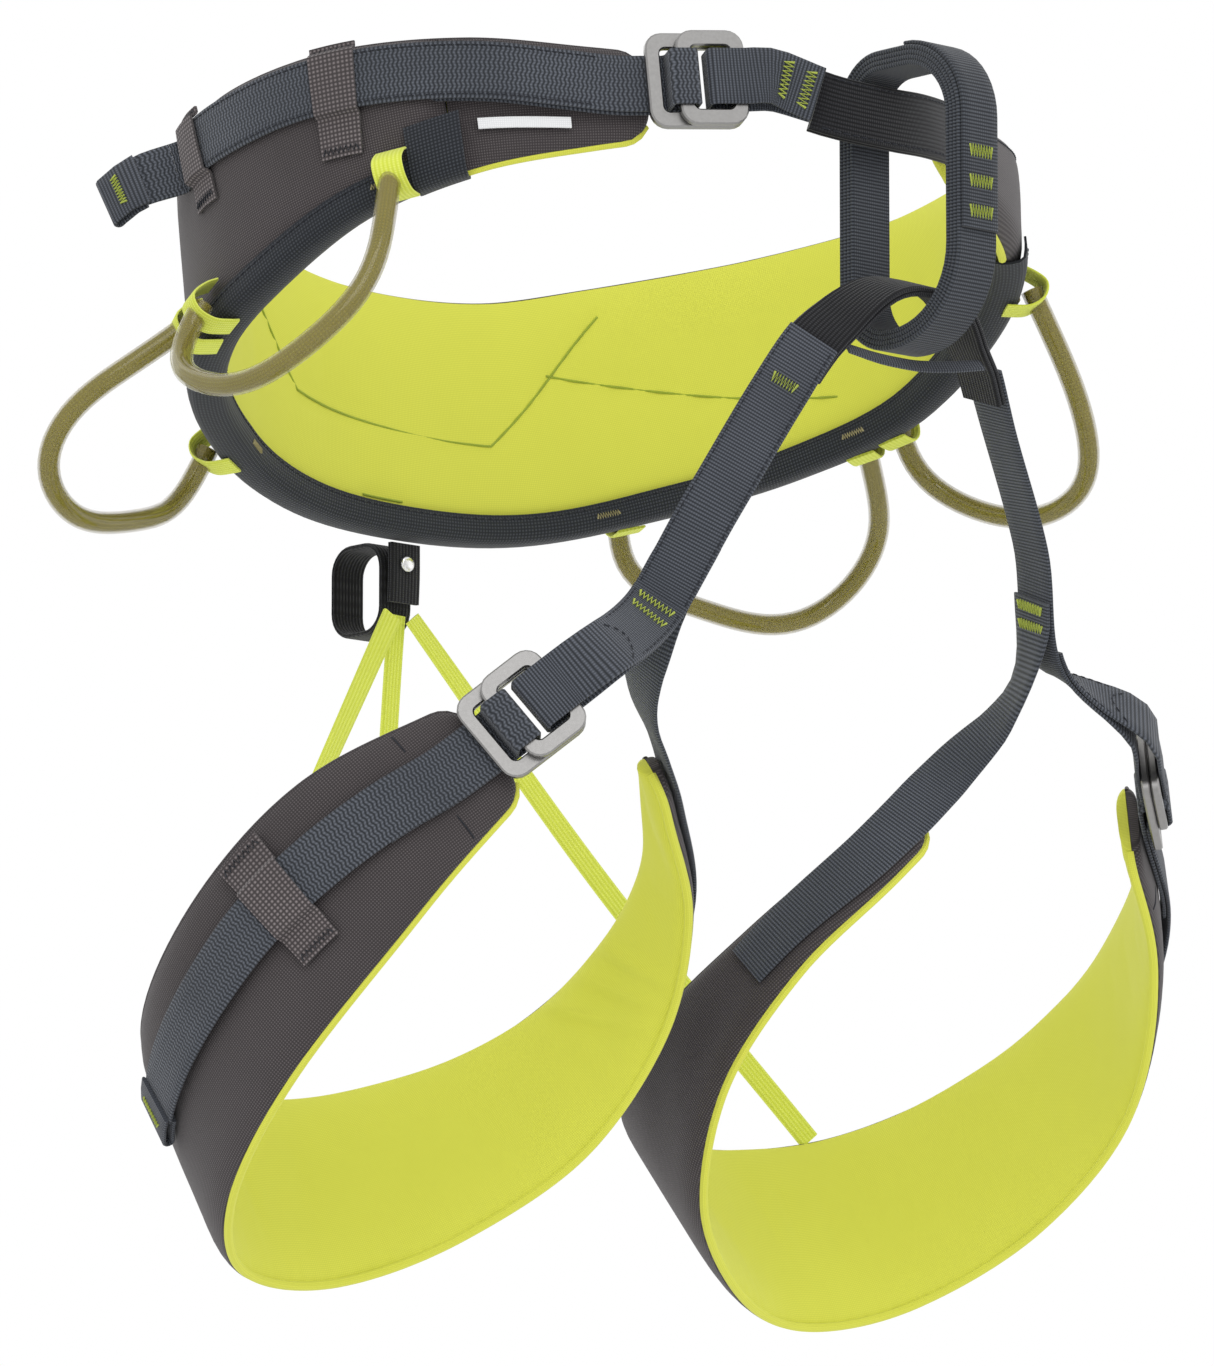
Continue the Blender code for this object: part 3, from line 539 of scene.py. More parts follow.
def edge_points(band, start, end, side, out, ends):
    """Points along a pad's upper (1) or lower (-1) edge, round its corners."""
    return [band.point(run, side * (band.half(run) - end_inset(run, ends)), out)
            for run in steps(start, end, 2.5)]


def pad_cloth(name, band, runs, low, high, kind, columns=21, ends=()):
    """Closed cloth form over a pad: low and high give its two faces at (run, share of half width)."""
    shares = np.sin(np.linspace(-1, 1, columns) * math.pi / 2)
    rings, coords = [], []
    for run in runs:
        half = band.half(run) - end_inset(run, ends)
        centre, _, across, out = band.frame(run)
        under = [centre + across * s * half + out * low(run, s) for s in shares]
        over = [centre + across * s * half + out * high(run, s) for s in shares[::-1]]
        rings.append(under + over)
        coords.append([(run, s * half) for s in (*shares, *shares[::-1])])
    return grid_mesh(name, rings, coords, kind, sharp_deg=70)


def puff(obj, pinned, pressure=4.0, cap=2.0, steps_run=16):
    """Blow a closed cloth form up between its pinned seams, then keep the result."""
    mesh = obj.data
    before = np.empty(len(mesh.vertices) * 3)
    mesh.vertices.foreach_get("co", before)
    before = before.reshape(-1, 3)
    group = obj.vertex_groups.new(name="seams")
    for i, place in enumerate(before / MM):
        if pinned(i, place):
            group.add([i], 1.0, "REPLACE")
    cloth = obj.modifiers.new("cloth", "CLOTH")
    cloth.settings.vertex_group_mass = "seams"
    cloth.settings.use_pressure = True
    cloth.settings.uniform_pressure_force = pressure
    cloth.settings.effector_weights.gravity = 0
    cloth.settings.quality = 4
    scene = bpy.context.scene
    for step in range(1, steps_run + 1):
        scene.frame_set(step)
    result = obj.evaluated_get(bpy.context.evaluated_depsgraph_get()).to_mesh()
    after = np.empty(len(before) * 3)
    result.vertices.foreach_get("co", after)
    moved = after.reshape(-1, 3) - before
    obj.modifiers.remove(cloth)
    scene.frame_set(1)
    length = np.linalg.norm(moved, axis=1)
    share = np.minimum(1.0, cap * MM / np.maximum(length, 1e-9))
    mesh.vertices.foreach_set("co", (before + moved * share[:, None]).ravel())
    mesh.update()


def place(obj, body, *nodes, slot=None):
    """Hand a finished piece to its body and hide the CAD nodes it stands for."""
    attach(obj, body)
    slot or SLOTS[obj.active_material]
    if nodes:
        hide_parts(*nodes)
    return obj


# ---- materials ----

class Nodes:
    """Small helper that wires maths nodes."""

    def __init__(self, name, roughness, metallic=0.0):
        self.material = bpy.data.materials.new(name)
        self.material.use_nodes = True
        self.tree = self.material.node_tree
        self.shader = self.tree.nodes["Principled BSDF"]
        self.shader.inputs["Roughness"].default_value = roughness
        self.shader.inputs["Metallic"].default_value = metallic
        uv = self.tree.nodes.new("ShaderNodeUVMap")
        uv.uv_map = "cloth"
        split = self.tree.nodes.new("ShaderNodeSeparateXYZ")
        self.tree.links.new(uv.outputs[0], split.inputs[0])
        self.along, self.across = split.outputs[0], split.outputs[1]

    def math(self, operation, one, two=None):
        node = self.tree.nodes.new("ShaderNodeMath")
        node.operation = operation
        for socket, value in zip(node.inputs, (one, two)):
            if isinstance(value, (int, float)):
                socket.default_value = value
            elif value is not None:
                self.tree.links.new(value, socket)
        return node.outputs[0]

    def wave(self, coordinate, pitch_mm, shift=None):
        """0 to 1 and back once per pitch."""
        turns = self.math("MULTIPLY", coordinate, 2 * math.pi / (pitch_mm * MM))
        if shift is not None:
            turns = self.math("ADD", turns, shift)
        return self.math("MULTIPLY_ADD", self.math("SINE", turns), 0.5)

    def noise(self, scale, detail=3.0):
        place_node = self.tree.nodes.new("ShaderNodeTexCoord")
        node = self.tree.nodes.new("ShaderNodeTexNoise")
        node.inputs["Scale"].default_value = scale
        node.inputs["Detail"].default_value = detail
        self.tree.links.new(place_node.outputs["Object"], node.inputs["Vector"])
        return node.outputs[0]

    def colours(self, factor, dark, light):
        node = self.tree.nodes.new("ShaderNodeMix")
        node.data_type = "RGBA"
        node.inputs[6].default_value = (*dark, 1)
        node.inputs[7].default_value = (*light, 1)
        self.tree.links.new(factor, node.inputs[0])
        self.tree.links.new(node.outputs[2], self.shader.inputs["Base Color"])

    def bump(self, height, depth_mm, strength=0.8):
        node = self.tree.nodes.new("ShaderNodeBump")
        node.inputs["Strength"].default_value = strength
        node.inputs["Distance"].default_value = depth_mm * MM
        self.tree.links.new(height, node.inputs["Height"])
        self.tree.links.new(node.outputs[0], self.shader.inputs["Normal"])


def woven(name, dark, light, pattern, depth_mm, roughness=0.85, sheen=0.15, specular=0.25):
    """Cloth whose thread pattern drives both its colour and its relief, with slow fading over it."""
    nodes = Nodes(name, roughness)
    nodes.shader.inputs["Sheen Weight"].default_value = sheen
    nodes.shader.inputs["Specular IOR Level"].default_value = specular
    relief = pattern(nodes)
    fade = nodes.math("MULTIPLY_ADD", nodes.noise(28.0), 0.9)
    tone = nodes.math("MULTIPLY", relief, fade)
    nodes.colours(tone, dark, light)
    nodes.bump(relief, depth_mm)
    return nodes.material


def transverse_ribs(nodes):
    rib = nodes.wave(nodes.along, 1.2)
    return nodes.math("MULTIPLY", rib, nodes.math("MULTIPLY_ADD", nodes.wave(nodes.across, 0.9), 0.5))


def herringbone(nodes):
    bend = nodes.math("MULTIPLY", nodes.wave(nodes.across, 3.4), 2.4)
    rib = nodes.wave(nodes.along, 1.5, bend)
    return nodes.math("MULTIPLY", rib, nodes.math("MULTIPLY_ADD", nodes.wave(nodes.across, 1.1), 0.6))


def lengthwise_ribs(nodes):
    rib = nodes.wave(nodes.across, 1.5)
    return nodes.math("MULTIPLY", rib, nodes.math("MULTIPLY_ADD", nodes.wave(nodes.along, 0.8), 0.7))


def checker(pitch):
    def pattern(nodes):
        return nodes.math("MULTIPLY", nodes.wave(nodes.along, pitch), nodes.wave(nodes.across, pitch))
    return pattern


NAVY_DARK = (0.018, 0.021, 0.026)
NAVY_LIGHT = (0.12, 0.132, 0.16)
CLOTHS = {
    # kind: material, finish, dark and light thread, pattern, relief in millimetres
    "shell": ("shell cloth", "shell_cloth", (0.035, 0.03, 0.031), (0.125, 0.11, 0.113), checker(0.9), 0.12),
    "navy_ribs": ("navy ribbed webbing", "navy_webbing", NAVY_DARK, NAVY_LIGHT, transverse_ribs, 0.3),
    "navy_herringbone": ("navy herringbone webbing", "navy_webbing", NAVY_DARK, (0.12, 0.132, 0.158),
                         herringbone, 0.35),
    "binding": ("navy binding", "navy_webbing", (0.012, 0.014, 0.018), (0.055, 0.062, 0.074),
                checker(1.2), 0.15),
    "black": ("black tubular webbing", "black_webbing", (0.003, 0.003, 0.004), (0.022, 0.023, 0.027),
              lengthwise_ribs, 0.35),
    "belay": ("belay webbing", "black_webbing", (0.012, 0.014, 0.018), (0.085, 0.095, 0.113),
              transverse_ribs, 0.3),
    "keeper": ("brown elastic", "keeper_elastic", (0.045, 0.038, 0.039), (0.24, 0.21, 0.212),
               checker(1.5), 0.3),
    "lime_elastic": ("lime elastic", "lime_elastic", (0.6, 0.67, 0.06), (0.76, 0.83, 0.15),
                     lengthwise_ribs, 0.2),
    "core": ("woven core", "gear_core", (0.14, 0.14, 0.003), (0.4, 0.4, 0.02), checker(1.3), 0.25),
    "thread_lime": ("lime thread", "lime_elastic", (0.42, 0.5, 0.07), (0.6, 0.68, 0.14), checker(0.6), 0.05),
    "thread_tan": ("tan thread", "lime_elastic", (0.36, 0.32, 0.16), (0.52, 0.45, 0.24), checker(0.6), 0.05),
    "thread_navy": ("navy thread", "navy_webbing", (0.01, 0.012, 0.018), (0.04, 0.045, 0.06),
                    checker(0.6), 0.05),
    "thread_olive": ("olive thread", "lime_elastic", (0.3, 0.38, 0.03), (0.4, 0.5, 0.04), checker(0.6), 0.05),
    "label": ("white label", "label_cloth", (0.7, 0.71, 0.72), (0.9, 0.9, 0.9), checker(0.7), 0.05),
}


def make_materials():
    """Every material by kind, and a finish slot name for each material."""
    table = {kind: woven(name, *rest) for kind, (name, _, *rest) in CLOTHS.items()}
    slots = {kind: slot for kind, (_, slot, *_) in CLOTHS.items()}
    table["lining"] = woven("lime lining", (0.6, 0.62, 0.07), (0.74, 0.76, 0.1), checker(0.7), 0.03, sheen=0.1)
    alloy = Nodes("satin alloy", 0.36, 1.0)
    grain = alloy.noise(900.0, 5.0)
    alloy.colours(grain, (0.25, 0.245, 0.24), (0.33, 0.325, 0.32))
    alloy.bump(grain, 0.012, 0.4)
    table["alloy"] = alloy.material
    steel = Nodes("rivet steel", 0.25, 1.0)
    steel.colours(steel.noise(700.0), (0.7, 0.7, 0.7), (0.85, 0.85, 0.85))
    table["rivet"] = steel.material
    smoky = Nodes("smoky tube", 0.06)
    smoky.colours(smoky.noise(40.0), (0.27, 0.22, 0.05), (0.34, 0.28, 0.08))
    smoky.shader.inputs["Alpha"].default_value = 0.4
    smoky.shader.inputs["Coat Weight"].default_value = 0.6
    table["smoky"] = smoky.material
    slots |= {"lining": "lime_lining", "alloy": "buckle_alloy", "rivet": "rivet_steel", "smoky": "gear_tube"}
    return table, {table[kind]: slot for kind, slot in slots.items()}


MATERIALS, SLOTS = make_materials()


# ---- waist belt ----

def near_line(places, reach):
    """Depth share of a sewn line through (run, share) places: 1 on it, 0 away from it."""
    places = np.array(places, float)

    def depth(run, share, half=40.0):
        spot = np.array([run, share * half])
        best = 1e9
        for one, two in zip(places * (1, half), places[1:] * (1, half)):
            along = two - one
            t = np.clip((spot - one) @ along / (along @ along), 0, 1)
            best = min(best, np.linalg.norm(spot - one - along * t))
        return math.exp(-(best / reach) ** 2)
    return depth


LINING_SEAMS = (
    [(-94, 0.55), (-58, -0.1), (38, -0.22), (95, 0.75)],
    [(68, 0.33), (176, -0.5)],
    [(-22, -0.76), (-4, -0.76)],
)


def ripple(run, share, size, seed):
    """Slow unevenness of cloth over foam, in millimetres."""
    return size * (math.sin(run / 17.0 + seed + 2.1 * share) * math.sin(2.3 * share + run / 41.0 + seed)
                   + 0.5 * math.sin(run / 7.3 + 4.0 * share + 2 * seed))


SEAM_RISE = 0.35             # a sewn line stands this far off the lining's modelled face


LINING_GROOVES = [near_line(places, 2.2) for places in LINING_SEAMS]
BINDING_START = WAIST_SEAM - 3.0
BINDING_THICK = 0.9
# how the binding wraps the belt's lower edge: (distance in from the edge, out)
BINDING_WRAP = [(8.4, 8.1), (6.0, 8.2), (3.0, 8.1), (0.6, 7.5), (-0.8, 5.6), (-1.2, 2.6), (-1.1, -0.6),
                (-0.4, -3.2), (1.6, -4.6), (4.0, -5.1), (6.4, -5.2), (8.4, -5.1)]
PATCH_WRAP = [(19.5, 8.5), (14.0, 9.3), (8.4, 9.2), (5.5, 9.3), (3.0, 9.1), (0.2, 8.2), (-1.7, 5.8),
              (-2.2, 2.6), (-2.1, -0.8), (-1.2, -3.9), (1.6, -5.6), (5.0, -6.2), (8.4, -6.2)]


def waist_groove(run, share):
    return max(groove(run, share) for groove in LINING_GROOVES)


def waist_lining_face(run, share):
    return -1.2 - 2.6 * (1 - abs(share) ** 5) - 0.4 * (1 - share * share) \
        + 0.9 * waist_groove(run, share) + ripple(run, share, 0.12, 0.4)


def waist_shell_face(run, share):
    high = 1.4 + 5.7 * (1 - abs(share) ** 7)
    hem = 1.0 - 0.35 * math.exp(-((run - WAIST_SEAM) / 5.0) ** 2)
    return high * hem + ripple(run, share, 0.22, 1.3) * (1 - share * share)


def waist_panel_face(run, share):
    return 1.2 + 2.4 * (1 - abs(share) ** 7) + ripple(run, share, 0.08, 2.2) * (1 - share * share)


def rim_columns(columns):
    """Columns of a pad cloth along both of its long edges."""
    size = columns * 2
    return {0, 1, columns - 2, columns - 1, columns, columns + 1, size - 2, size - 1}


def make_waist_cloth(waist):
    lining = pad_cloth("waist_lining_cloth", waist, pad_runs(WAIST_END_RIGHT, WAIST_END_LEFT, 3.5),
                       waist_lining_face, lambda run, share: -CLOTH_SPLIT, "lining", 27, WAIST_CORNERS)
    shell = pad_cloth("waist_shell_cloth", waist, pad_runs(WAIST_SEAM, WAIST_END_LEFT, 4),
                      lambda run, share: CLOTH_SPLIT, waist_shell_face, "shell", 19, WAIST_CORNERS)
    panel = pad_cloth("waist_front_panel_cloth", waist, pad_runs(WAIST_END_RIGHT, WAIST_SEAM - 0.6, 4),
                      lambda run, share: CLOTH_SPLIT, waist_panel_face, "shell", 15, WAIST_CORNERS)

    def lining_pinned(i, spot):
        column = i % 54
        if column >= 27 or column in rim_columns(27):
            return True
        run = waist.nearest(spot)
        centre, _, across, _ = waist.frame(run)
        return waist_groove(run, (spot - centre) @ across / waist.half(run)) > 0.4

    puff(lining, lining_pinned, cap=0.9)
    puff(shell, lambda i, spot: i % 38 < 19 or i % 38 in rim_columns(19), cap=0.9)
    place(lining, "belt", "waist_lining", "waist_foam")
    place(shell, "belt", "waist_shell")
    place(panel, "belt", "waist_front_panel")


def make_waist_edges(waist):
    """Binding along the lower edge, the patch over its end, and the piping everywhere else."""
    for name, nodes, start, end, size, wrap in (
            ("waist_binding_tape", ["waist_binding"], BINDING_START, BINDING_END, 5, BINDING_WRAP),
            ("binding_end_patch", [], BINDING_START - 1.5, BINDING_START + 17.0, 3, PATCH_WRAP)):
        def outline(run, wrap=wrap):
            return thicken([(inward - waist.half(run), out) for inward, out in wrap], BINDING_THICK)

        frames = band_frames(waist, steps(start, end, size))
        place(outline_sweep(name, frames, outline, "binding"), "belt", *nodes)

    for name, start, end, side, (out, radius, kind) in (
            ("front_right", WAIST_END_RIGHT + 1, BINDING_START, -1, WAIST_LOW_PIPING),
            ("front_left", BINDING_END + 1, WAIST_END_LEFT - 1, -1, WAIST_LOW_PIPING),
            ("top", WAIST_END_RIGHT + 1, WAIST_END_LEFT - 1, 1, TOP_PIPING)):
        points = edge_points(waist, start, end, side, out, WAIST_CORNERS)
        place(tube("piping_" + name, points, radius, 8, kind), "belt")


def make_waist_stitches(waist):
    seam_paths = []
    for places in LINING_SEAMS:
        corners = np.array(places, float)
        length = np.concatenate([[0], np.cumsum(np.abs(np.diff(corners[:, 0])))])
        dense = [[np.interp(at, length, column) for column in corners.T] for at in steps(0, length[-1], 3)]
        seam_paths.append([waist.point(run, share * waist.half(run),
                                       waist_lining_face(run, share) - SEAM_RISE)
                           for run, share in dense])
    place(threads("lining_seam_stitches", seam_paths, 0.45, "thread_olive"), "belt")

    rows = []
    for out in (8.75, -5.75):
        rows += stitch_run(waist, 10 - BINDING_END, BINDING_END - 6, lambda run: 6.9 - waist.half(run), out)
    rows += stitch_run(waist, WAIST_SEAM + 6, WAIST_END_LEFT - 6, lambda run: waist.half(run) - 5.0,
                       lambda run: waist_shell_face(run, 1 - 5.0 / waist.half(run)) + 0.1)
    place(threads("belt_edge_stitches", rows, 0.28, "thread_navy"), "belt")

    tacks = []
    for out, runs in ((-5.9, (-88, 77, 179, 269)), (8.7, (-269, -179, -77, 77, 179, 269))):
        tacks += [bar_tack(waist, run, 3.6 - waist.half(run), out, 9.0, 1.6, 9, lengthwise=True)
                  for run in runs]
    place(threads("binding_tacks", tacks, 0.4, "thread_tan"), "belt")


def make_waist_label_and_load(waist):
    label = band_frames(waist, steps(-334, -303, 3), lambda run: -9.6 + 0.06 * (run + 318), 5.4)
    place(ribbon("care_label_cloth", label, 1.9, 1.0, "label", layers=2), "belt", "care_label")
    load = band_frames(waist, steps(-256, 310, 6), webbing_height, LINE_BASE + WEBBING_THICK / 2)
    place(webbing("load_webbing", load, "navy_ribs"), "belt", "waist_load_webbing")


# ---- straps and buckles ----

def corner_outline(half_long, half_wide, radius, per_corner=6):
    """Rounded rectangle as (along, across) pairs; radius is one value or one for each corner."""
    points = []
    radii = np.broadcast_to(radius, 4)
    for quarter, ((sx, sy), radius) in enumerate(zip(((1, 1), (-1, 1), (-1, -1), (1, -1)), radii)):
        for turn in np.linspace(0, 90, per_corner):
            angle = math.radians(90 * quarter + turn)
            points.append((sx * (half_long - radius) + radius * math.cos(angle),
                           sy * (half_wide - radius) + radius * math.sin(angle)))
    return points


def buckle_frame(name, band, bar_run, pitch, out_low):
    """Cast frame with round corners and softened edges, on a straight stretch of its band."""
    centre, tangent, across, out = band.frame(bar_run + pitch / 2)
    half_long = pitch / 2 + BUCKLE_BAR / 2
    soft = 0.55
    rims = []
    for inset, height in ((soft, 0.0), (0.0, soft), (0.0, BUCKLE_THICK - soft), (soft, BUCKLE_THICK)):
        rims.append((corner_outline(half_long - inset, BUCKLE_HALF_WIDTH - inset, 6.0 - inset), height))
    for inset, height in ((soft, BUCKLE_THICK), (0.0, BUCKLE_THICK - soft), (0.0, soft), (soft, 0.0)):
        window = corner_outline(half_long - BUCKLE_BAR + inset, BUCKLE_WINDOW_HALF + inset, 2.0 + inset)
        rims.append((window, height))
    rings = [[centre + tangent * a + across * b + out * (out_low + height) for a, b in points]
             for points, height in rims]
    coords = [[(a, b) for a, b in points] for points, _ in rims]
    return grid_mesh(name, rings, coords, "alloy", closed=True, sharp_deg=28)


def make_buckle(prefix, suffix, band, bar_run, tail_out, tail_end, strap_start, lap_start, anchor_end,
                bodies):
    """Two-frame friction buckle: the strap holds both frames, the webbing doubles back round them."""
    body, frame_body = bodies
    layer = WEBBING_THICK + GAP
    frame_out = tail_out + layer
    inner_out = frame_out + BUCKLE_THICK + GAP
    top = inner_out + BUCKLE_THICK + GAP + WEBBING_THICK / 2
    low = tail_out + WEBBING_THICK / 2
    base = WEBBING_THICK / 2
    for kind, pitch, height, owner in (("outer", OUTER_FRAME_PITCH, frame_out, frame_body),
                                       ("inner", INNER_FRAME_PITCH, inner_out, body)):
        node = f"{prefix}_buckle_{kind}_frame{suffix}"
        place(buckle_frame(node + "_cast", band, bar_run, pitch, height), owner, node)

    mid = (low + top) / 2
    loop_run = bar_run + BUCKLE_BAR / 2 + BUCKLE_TRAVEL + 5.0
    turn, fold = 1.8, 1.6
    under, over = mid - layer / 2, mid + layer / 2
    parting = [(29, 0.1), (26, 0.4), (21, 1.1), (16, 2.0)]
    strap = [(run, under) for run in steps(strap_start, bar_run - 34)] if strap_start < bar_run - 34 else []
    strap += [(bar_run - back, under - rise) for back, rise in parting]
    strap += [(bar_run - 11, low + 0.3), (bar_run - 6, low), (bar_run - 2, low)]
    strap += arc((loop_run - turn, low + turn), turn, -90, 0)
    strap += arc((loop_run - turn, top - turn), turn, 0, 90)
    strap += [(bar_run - 2, top), (bar_run - 6, top), (bar_run - 11, top - 0.3)]
    strap += [(bar_run - back, over + rise) for back, rise in parting[::-1]]
    strap += [(run, over) for run in steps(bar_run - 34, lap_start)] if lap_start < bar_run - 34 else []
    node = "waist_buckle_strap" if prefix == "waist" else f"{prefix}_front_strap{suffix}"
    place(webbing(node + "_webbing", path_frames(band, strap), "navy_ribs"), body, node)

    near_bar = bar_run + INNER_FRAME_PITCH
    rise, fall = near_bar - BUCKLE_BAR / 2 - 1.9, near_bar + BUCKLE_BAR / 2 + 2.2
    web = [(run, base) for run in steps(anchor_end, rise + 4)]
    web += arc((rise + fold, base + fold), fold, 270, 180) + arc((rise + fold, top - fold), fold, 180, 90)
    web += arc((fall - fold, top - fold), fold, 90, 0) + arc((fall + fold, low + fold), fold, 180, 270)
    web += [(run, low) for run in steps(fall + 5, tail_end)]
    node = f"{prefix}_webbing{suffix}"
    place(webbing(node + "_weave", path_frames(band, web), "navy_herringbone"), body, node)
    return mid + layer / 2 + WEBBING_THICK / 2


def keeper_outline(reach_low, reach_high, base, tail_top):
    """Elastic keeper across the webbing: a flat flap each side and a bridge over the tail."""
    wall, thick = WEBBING_WIDTH / 2 + 1.1, 1.0
    mid, over = base + thick / 2, tail_top + GAP + thick / 2
    path = [(-reach_low, mid), (-(reach_low + wall) / 2, mid), (-wall - 0.9, mid), (-wall - 0.1, mid + 0.5),
            (-wall + 0.2, (mid + over) / 2), (-wall + 0.9, over), (0, over + 0.15), (wall - 0.9, over),
            (wall - 0.2, (mid + over) / 2), (wall + 0.1, mid + 0.5), (wall + 0.9, mid),
            ((reach_high + wall) / 2, mid), (reach_high, mid)]
    return thicken(path, thick)


def make_keeper(node, band, run, length, reaches, base, tail_top, body, height=lambda run: 0.0):
    reach_low, reach_high = reaches

    def outline(at):
        shape = keeper_outline(reach_low, reach_high, base, tail_top)
        return [(across + height(at), out) for across, out in shape]

    frames = band_frames(band, steps(run - length / 2, run + length / 2, 2))
    place(outline_sweep(node + "_elastic", frames, outline, "keeper"), body, node)
    rows = []
    for reach in (-reach_low + 2.5, reach_high - 2.5):
        across = height(run) + reach
        rows.append(bar_tack(band, run, across, base + 1.05, length - 2, 2.2, 7, lengthwise=True))
    place(threads(node + "_stitches", rows, 0.28, "thread_navy"), body, slot="keeper_elastic")


def make_tail_end(prefix, suffix, band, hinge, end, out, body):
    """Free end of a tail past its keeper, and the sewn roll that stops it pulling through."""
    mid = out + WEBBING_THICK / 2
    fold = 1.6
    flat = band_frames(band, steps(hinge + TAIL_SLIT, end - 13, 3), 0, mid)
    node = f"{prefix}_tail_end{suffix}"
    place(webbing(node + "_weave", flat, "navy_herringbone"), body, node)
    roll = [(end - 14.5, mid + fold - 0.1), (end - 9, mid + fold), (end - 3, mid + fold)]
    roll += arc((end - fold, mid), fold, 90, -90)
    roll += [(end - back, mid - fold) for back in (3, 9, 13)]
    node = f"{prefix}_tail_tab{suffix}"
    place(webbing(node + "_roll", path_frames(band, roll), "navy_ribs"), body, node)
    tack = [bar_tack(band, end - 7.5, 0, mid + 2.4, 12, 2.2, 9)]
    place(threads(f"{prefix}_tail_tack{suffix}", tack, 0.4, "thread_lime"), body)


def make_waist_straps(waist):
    line = waist_line(waist)
    pad_run = line.nearest(waist.point(WAIST_END_RIGHT, 0, LINE_BASE))
    bar_run = pad_run - 29
    tie_end = bar_run - 30
    hinge = line.end - WAIST_TAIL_LENGTH
    shell_top = SHELL_BASE + CLOTH_THICK + GAP - LINE_BASE
    tail_out = shell_top + 2 * GAP
    top = make_buckle("waist", "", line, bar_run, tail_out, hinge, tie_end + 1, tie_end + 1, pad_run + 94,
                      ("belt", "belt_buckle_frame"))
    left_run = line.nearest(waist.point(WAIST_END_LEFT, 0, LINE_BASE))
    tie = band_frames(line, steps(left_run + 3, tie_end), 0, 3.0)
    piece = ribbon("tie_in_black_webbing", tie, TIE_IN_WIDTH / 2, 4.0, "black", layers=2)
    place(piece, "belt", "tie_in_webbing")
    tail_top = tail_out + WEBBING_THICK
    make_keeper("waist_keeper_front", line, pad_run + 108, 16, (26, 13.5), shell_top, tail_top, "belt")
    make_keeper("waist_keeper_rear", waist, REAR_KEEPER_RUN, 13, (22, 14), shell_top + LINE_BASE,
                tail_top + LINE_BASE + 2 * GAP, "belt", webbing_height)
    make_tail_end("waist", "", line, hinge, line.end, tail_out, "belt_tail")
    tacks = [bar_tack(line, tie_end + ahead, 0, top + rise, 13.5, 3.2, 8)
             for ahead, rise in ((5, 0.5), (13, 2.4))]
    place(threads("waist_strap_tacks", tacks, 0.5, "thread_lime"), "belt")
    edge = TIE_IN_WIDTH / 2 - 1.6
    rows = stitch_pair(line, left_run + 6, tie_end - 3, edge, 5.1)
    rows += stitch_pair(line, pad_run + 20, hinge - 4, 8.6, tail_out + WEBBING_THICK + 0.05, 2.6)
    place(threads("waist_strap_stitches", rows, 0.25, "thread_navy"), "belt")


# ---- belay loop, gear loops and the rear hangers ----

def make_belay_loop():
    path = np.array(corner_outline(BELAY_HALF_DEPTH, BELAY_HALF_HEIGHT, BELAY_CORNERS, 12))
    dense = []
    for one, two in zip(path, np.roll(path, -1, axis=0)):
        count = max(int(np.linalg.norm(two - one) / 4), 1)
        dense += [one + (two - one) * i / count for i in range(count)]
    dense = np.array(dense)
    lengths = np.cumsum(np.linalg.norm(dense - np.roll(dense, 1, axis=0), axis=1))
    frames = loop_frames(BELAY_MIDDLE, dense, lengths)
    half = BELAY_WIDTH / 2
    piece = ribbon("belay_loop_webbing", frames, half, BELAY_THICK, "belay", layers=4, closed=True)
    place(piece, "belay_loop", "belay_loop")

    lap = []
    for centre, across, normal, length in frames:
        outward = normal if normal @ (centre - np.array(BELAY_MIDDLE)) > 0 else -normal
        if centre[1] < BELAY_MIDDLE[1] and centre[2] > BELAY_LAP_END:
            lap.append((centre + outward * (BELAY_THICK + BELAY_LAP_THICK) / 2, across, normal, length))
    place(ribbon("belay_loop_lap", lap, half - 0.6, BELAY_LAP_THICK, "belay"), "belay_loop")
    front = BELAY_MIDDLE[1] - BELAY_HALF_DEPTH - BELAY_THICK / 2
    line = plain_band([(0, front, BELAY_LAP_END + up) for up in (36, 18, 0)])
    flip = 1 if line.frame(5)[3][1] < 0 else -1
    tacks = [bar_tack(line, line.end - back, 0, flip * 1.6, 10.5, 4.0, 8) for back in (7.5, 18.0, 28.5)]
    place(threads("belay_loop_tacks", tacks, 0.5, "thread_lime"), "belay_loop")


def make_gear_loops(waist):
    for side, side_name in SIDES:
        for spot, route, runs in (("front", GEAR_FRONT, GEAR_FRONT_RUNS), ("rear", GEAR_REAR, GEAR_REAR_RUNS)):
            flip = np.array([side, 1, 1])
            first, last = [waist.point(side * run, -waist.half(side * run) + 6, 13.4) for run in runs]
            middle = relax(resample([first, *(np.array(point) * flip for point in route), last], 4), 14)
            name = f"{spot}_{side_name}"
            body = "gear_loop_" + name
            place(hollow_tube(f"gear_tube_{name}_smoky", middle), body, "gear_tube_" + name)
            core = tube(f"gear_core_{name}_weave", middle, GEAR_CORE_RADIUS, 12, "core")
            place(core, body, "gear_core_" + name)
            for end, run in zip(("a", "b"), runs):
                at = side * run
                wrap = Band([(waist.point(at, -waist.half(at) + across, out), waist.frame(at)[1], 1)
                             for across, out in GEAR_TAB_ROUTE])
                tab = ribbon(f"gear_tab_{name}_{end}", band_frames(wrap, steps(0, wrap.end, 1.5)), 5.5, 1.0,
                             "lime_elastic")
                place(tab, "belt")


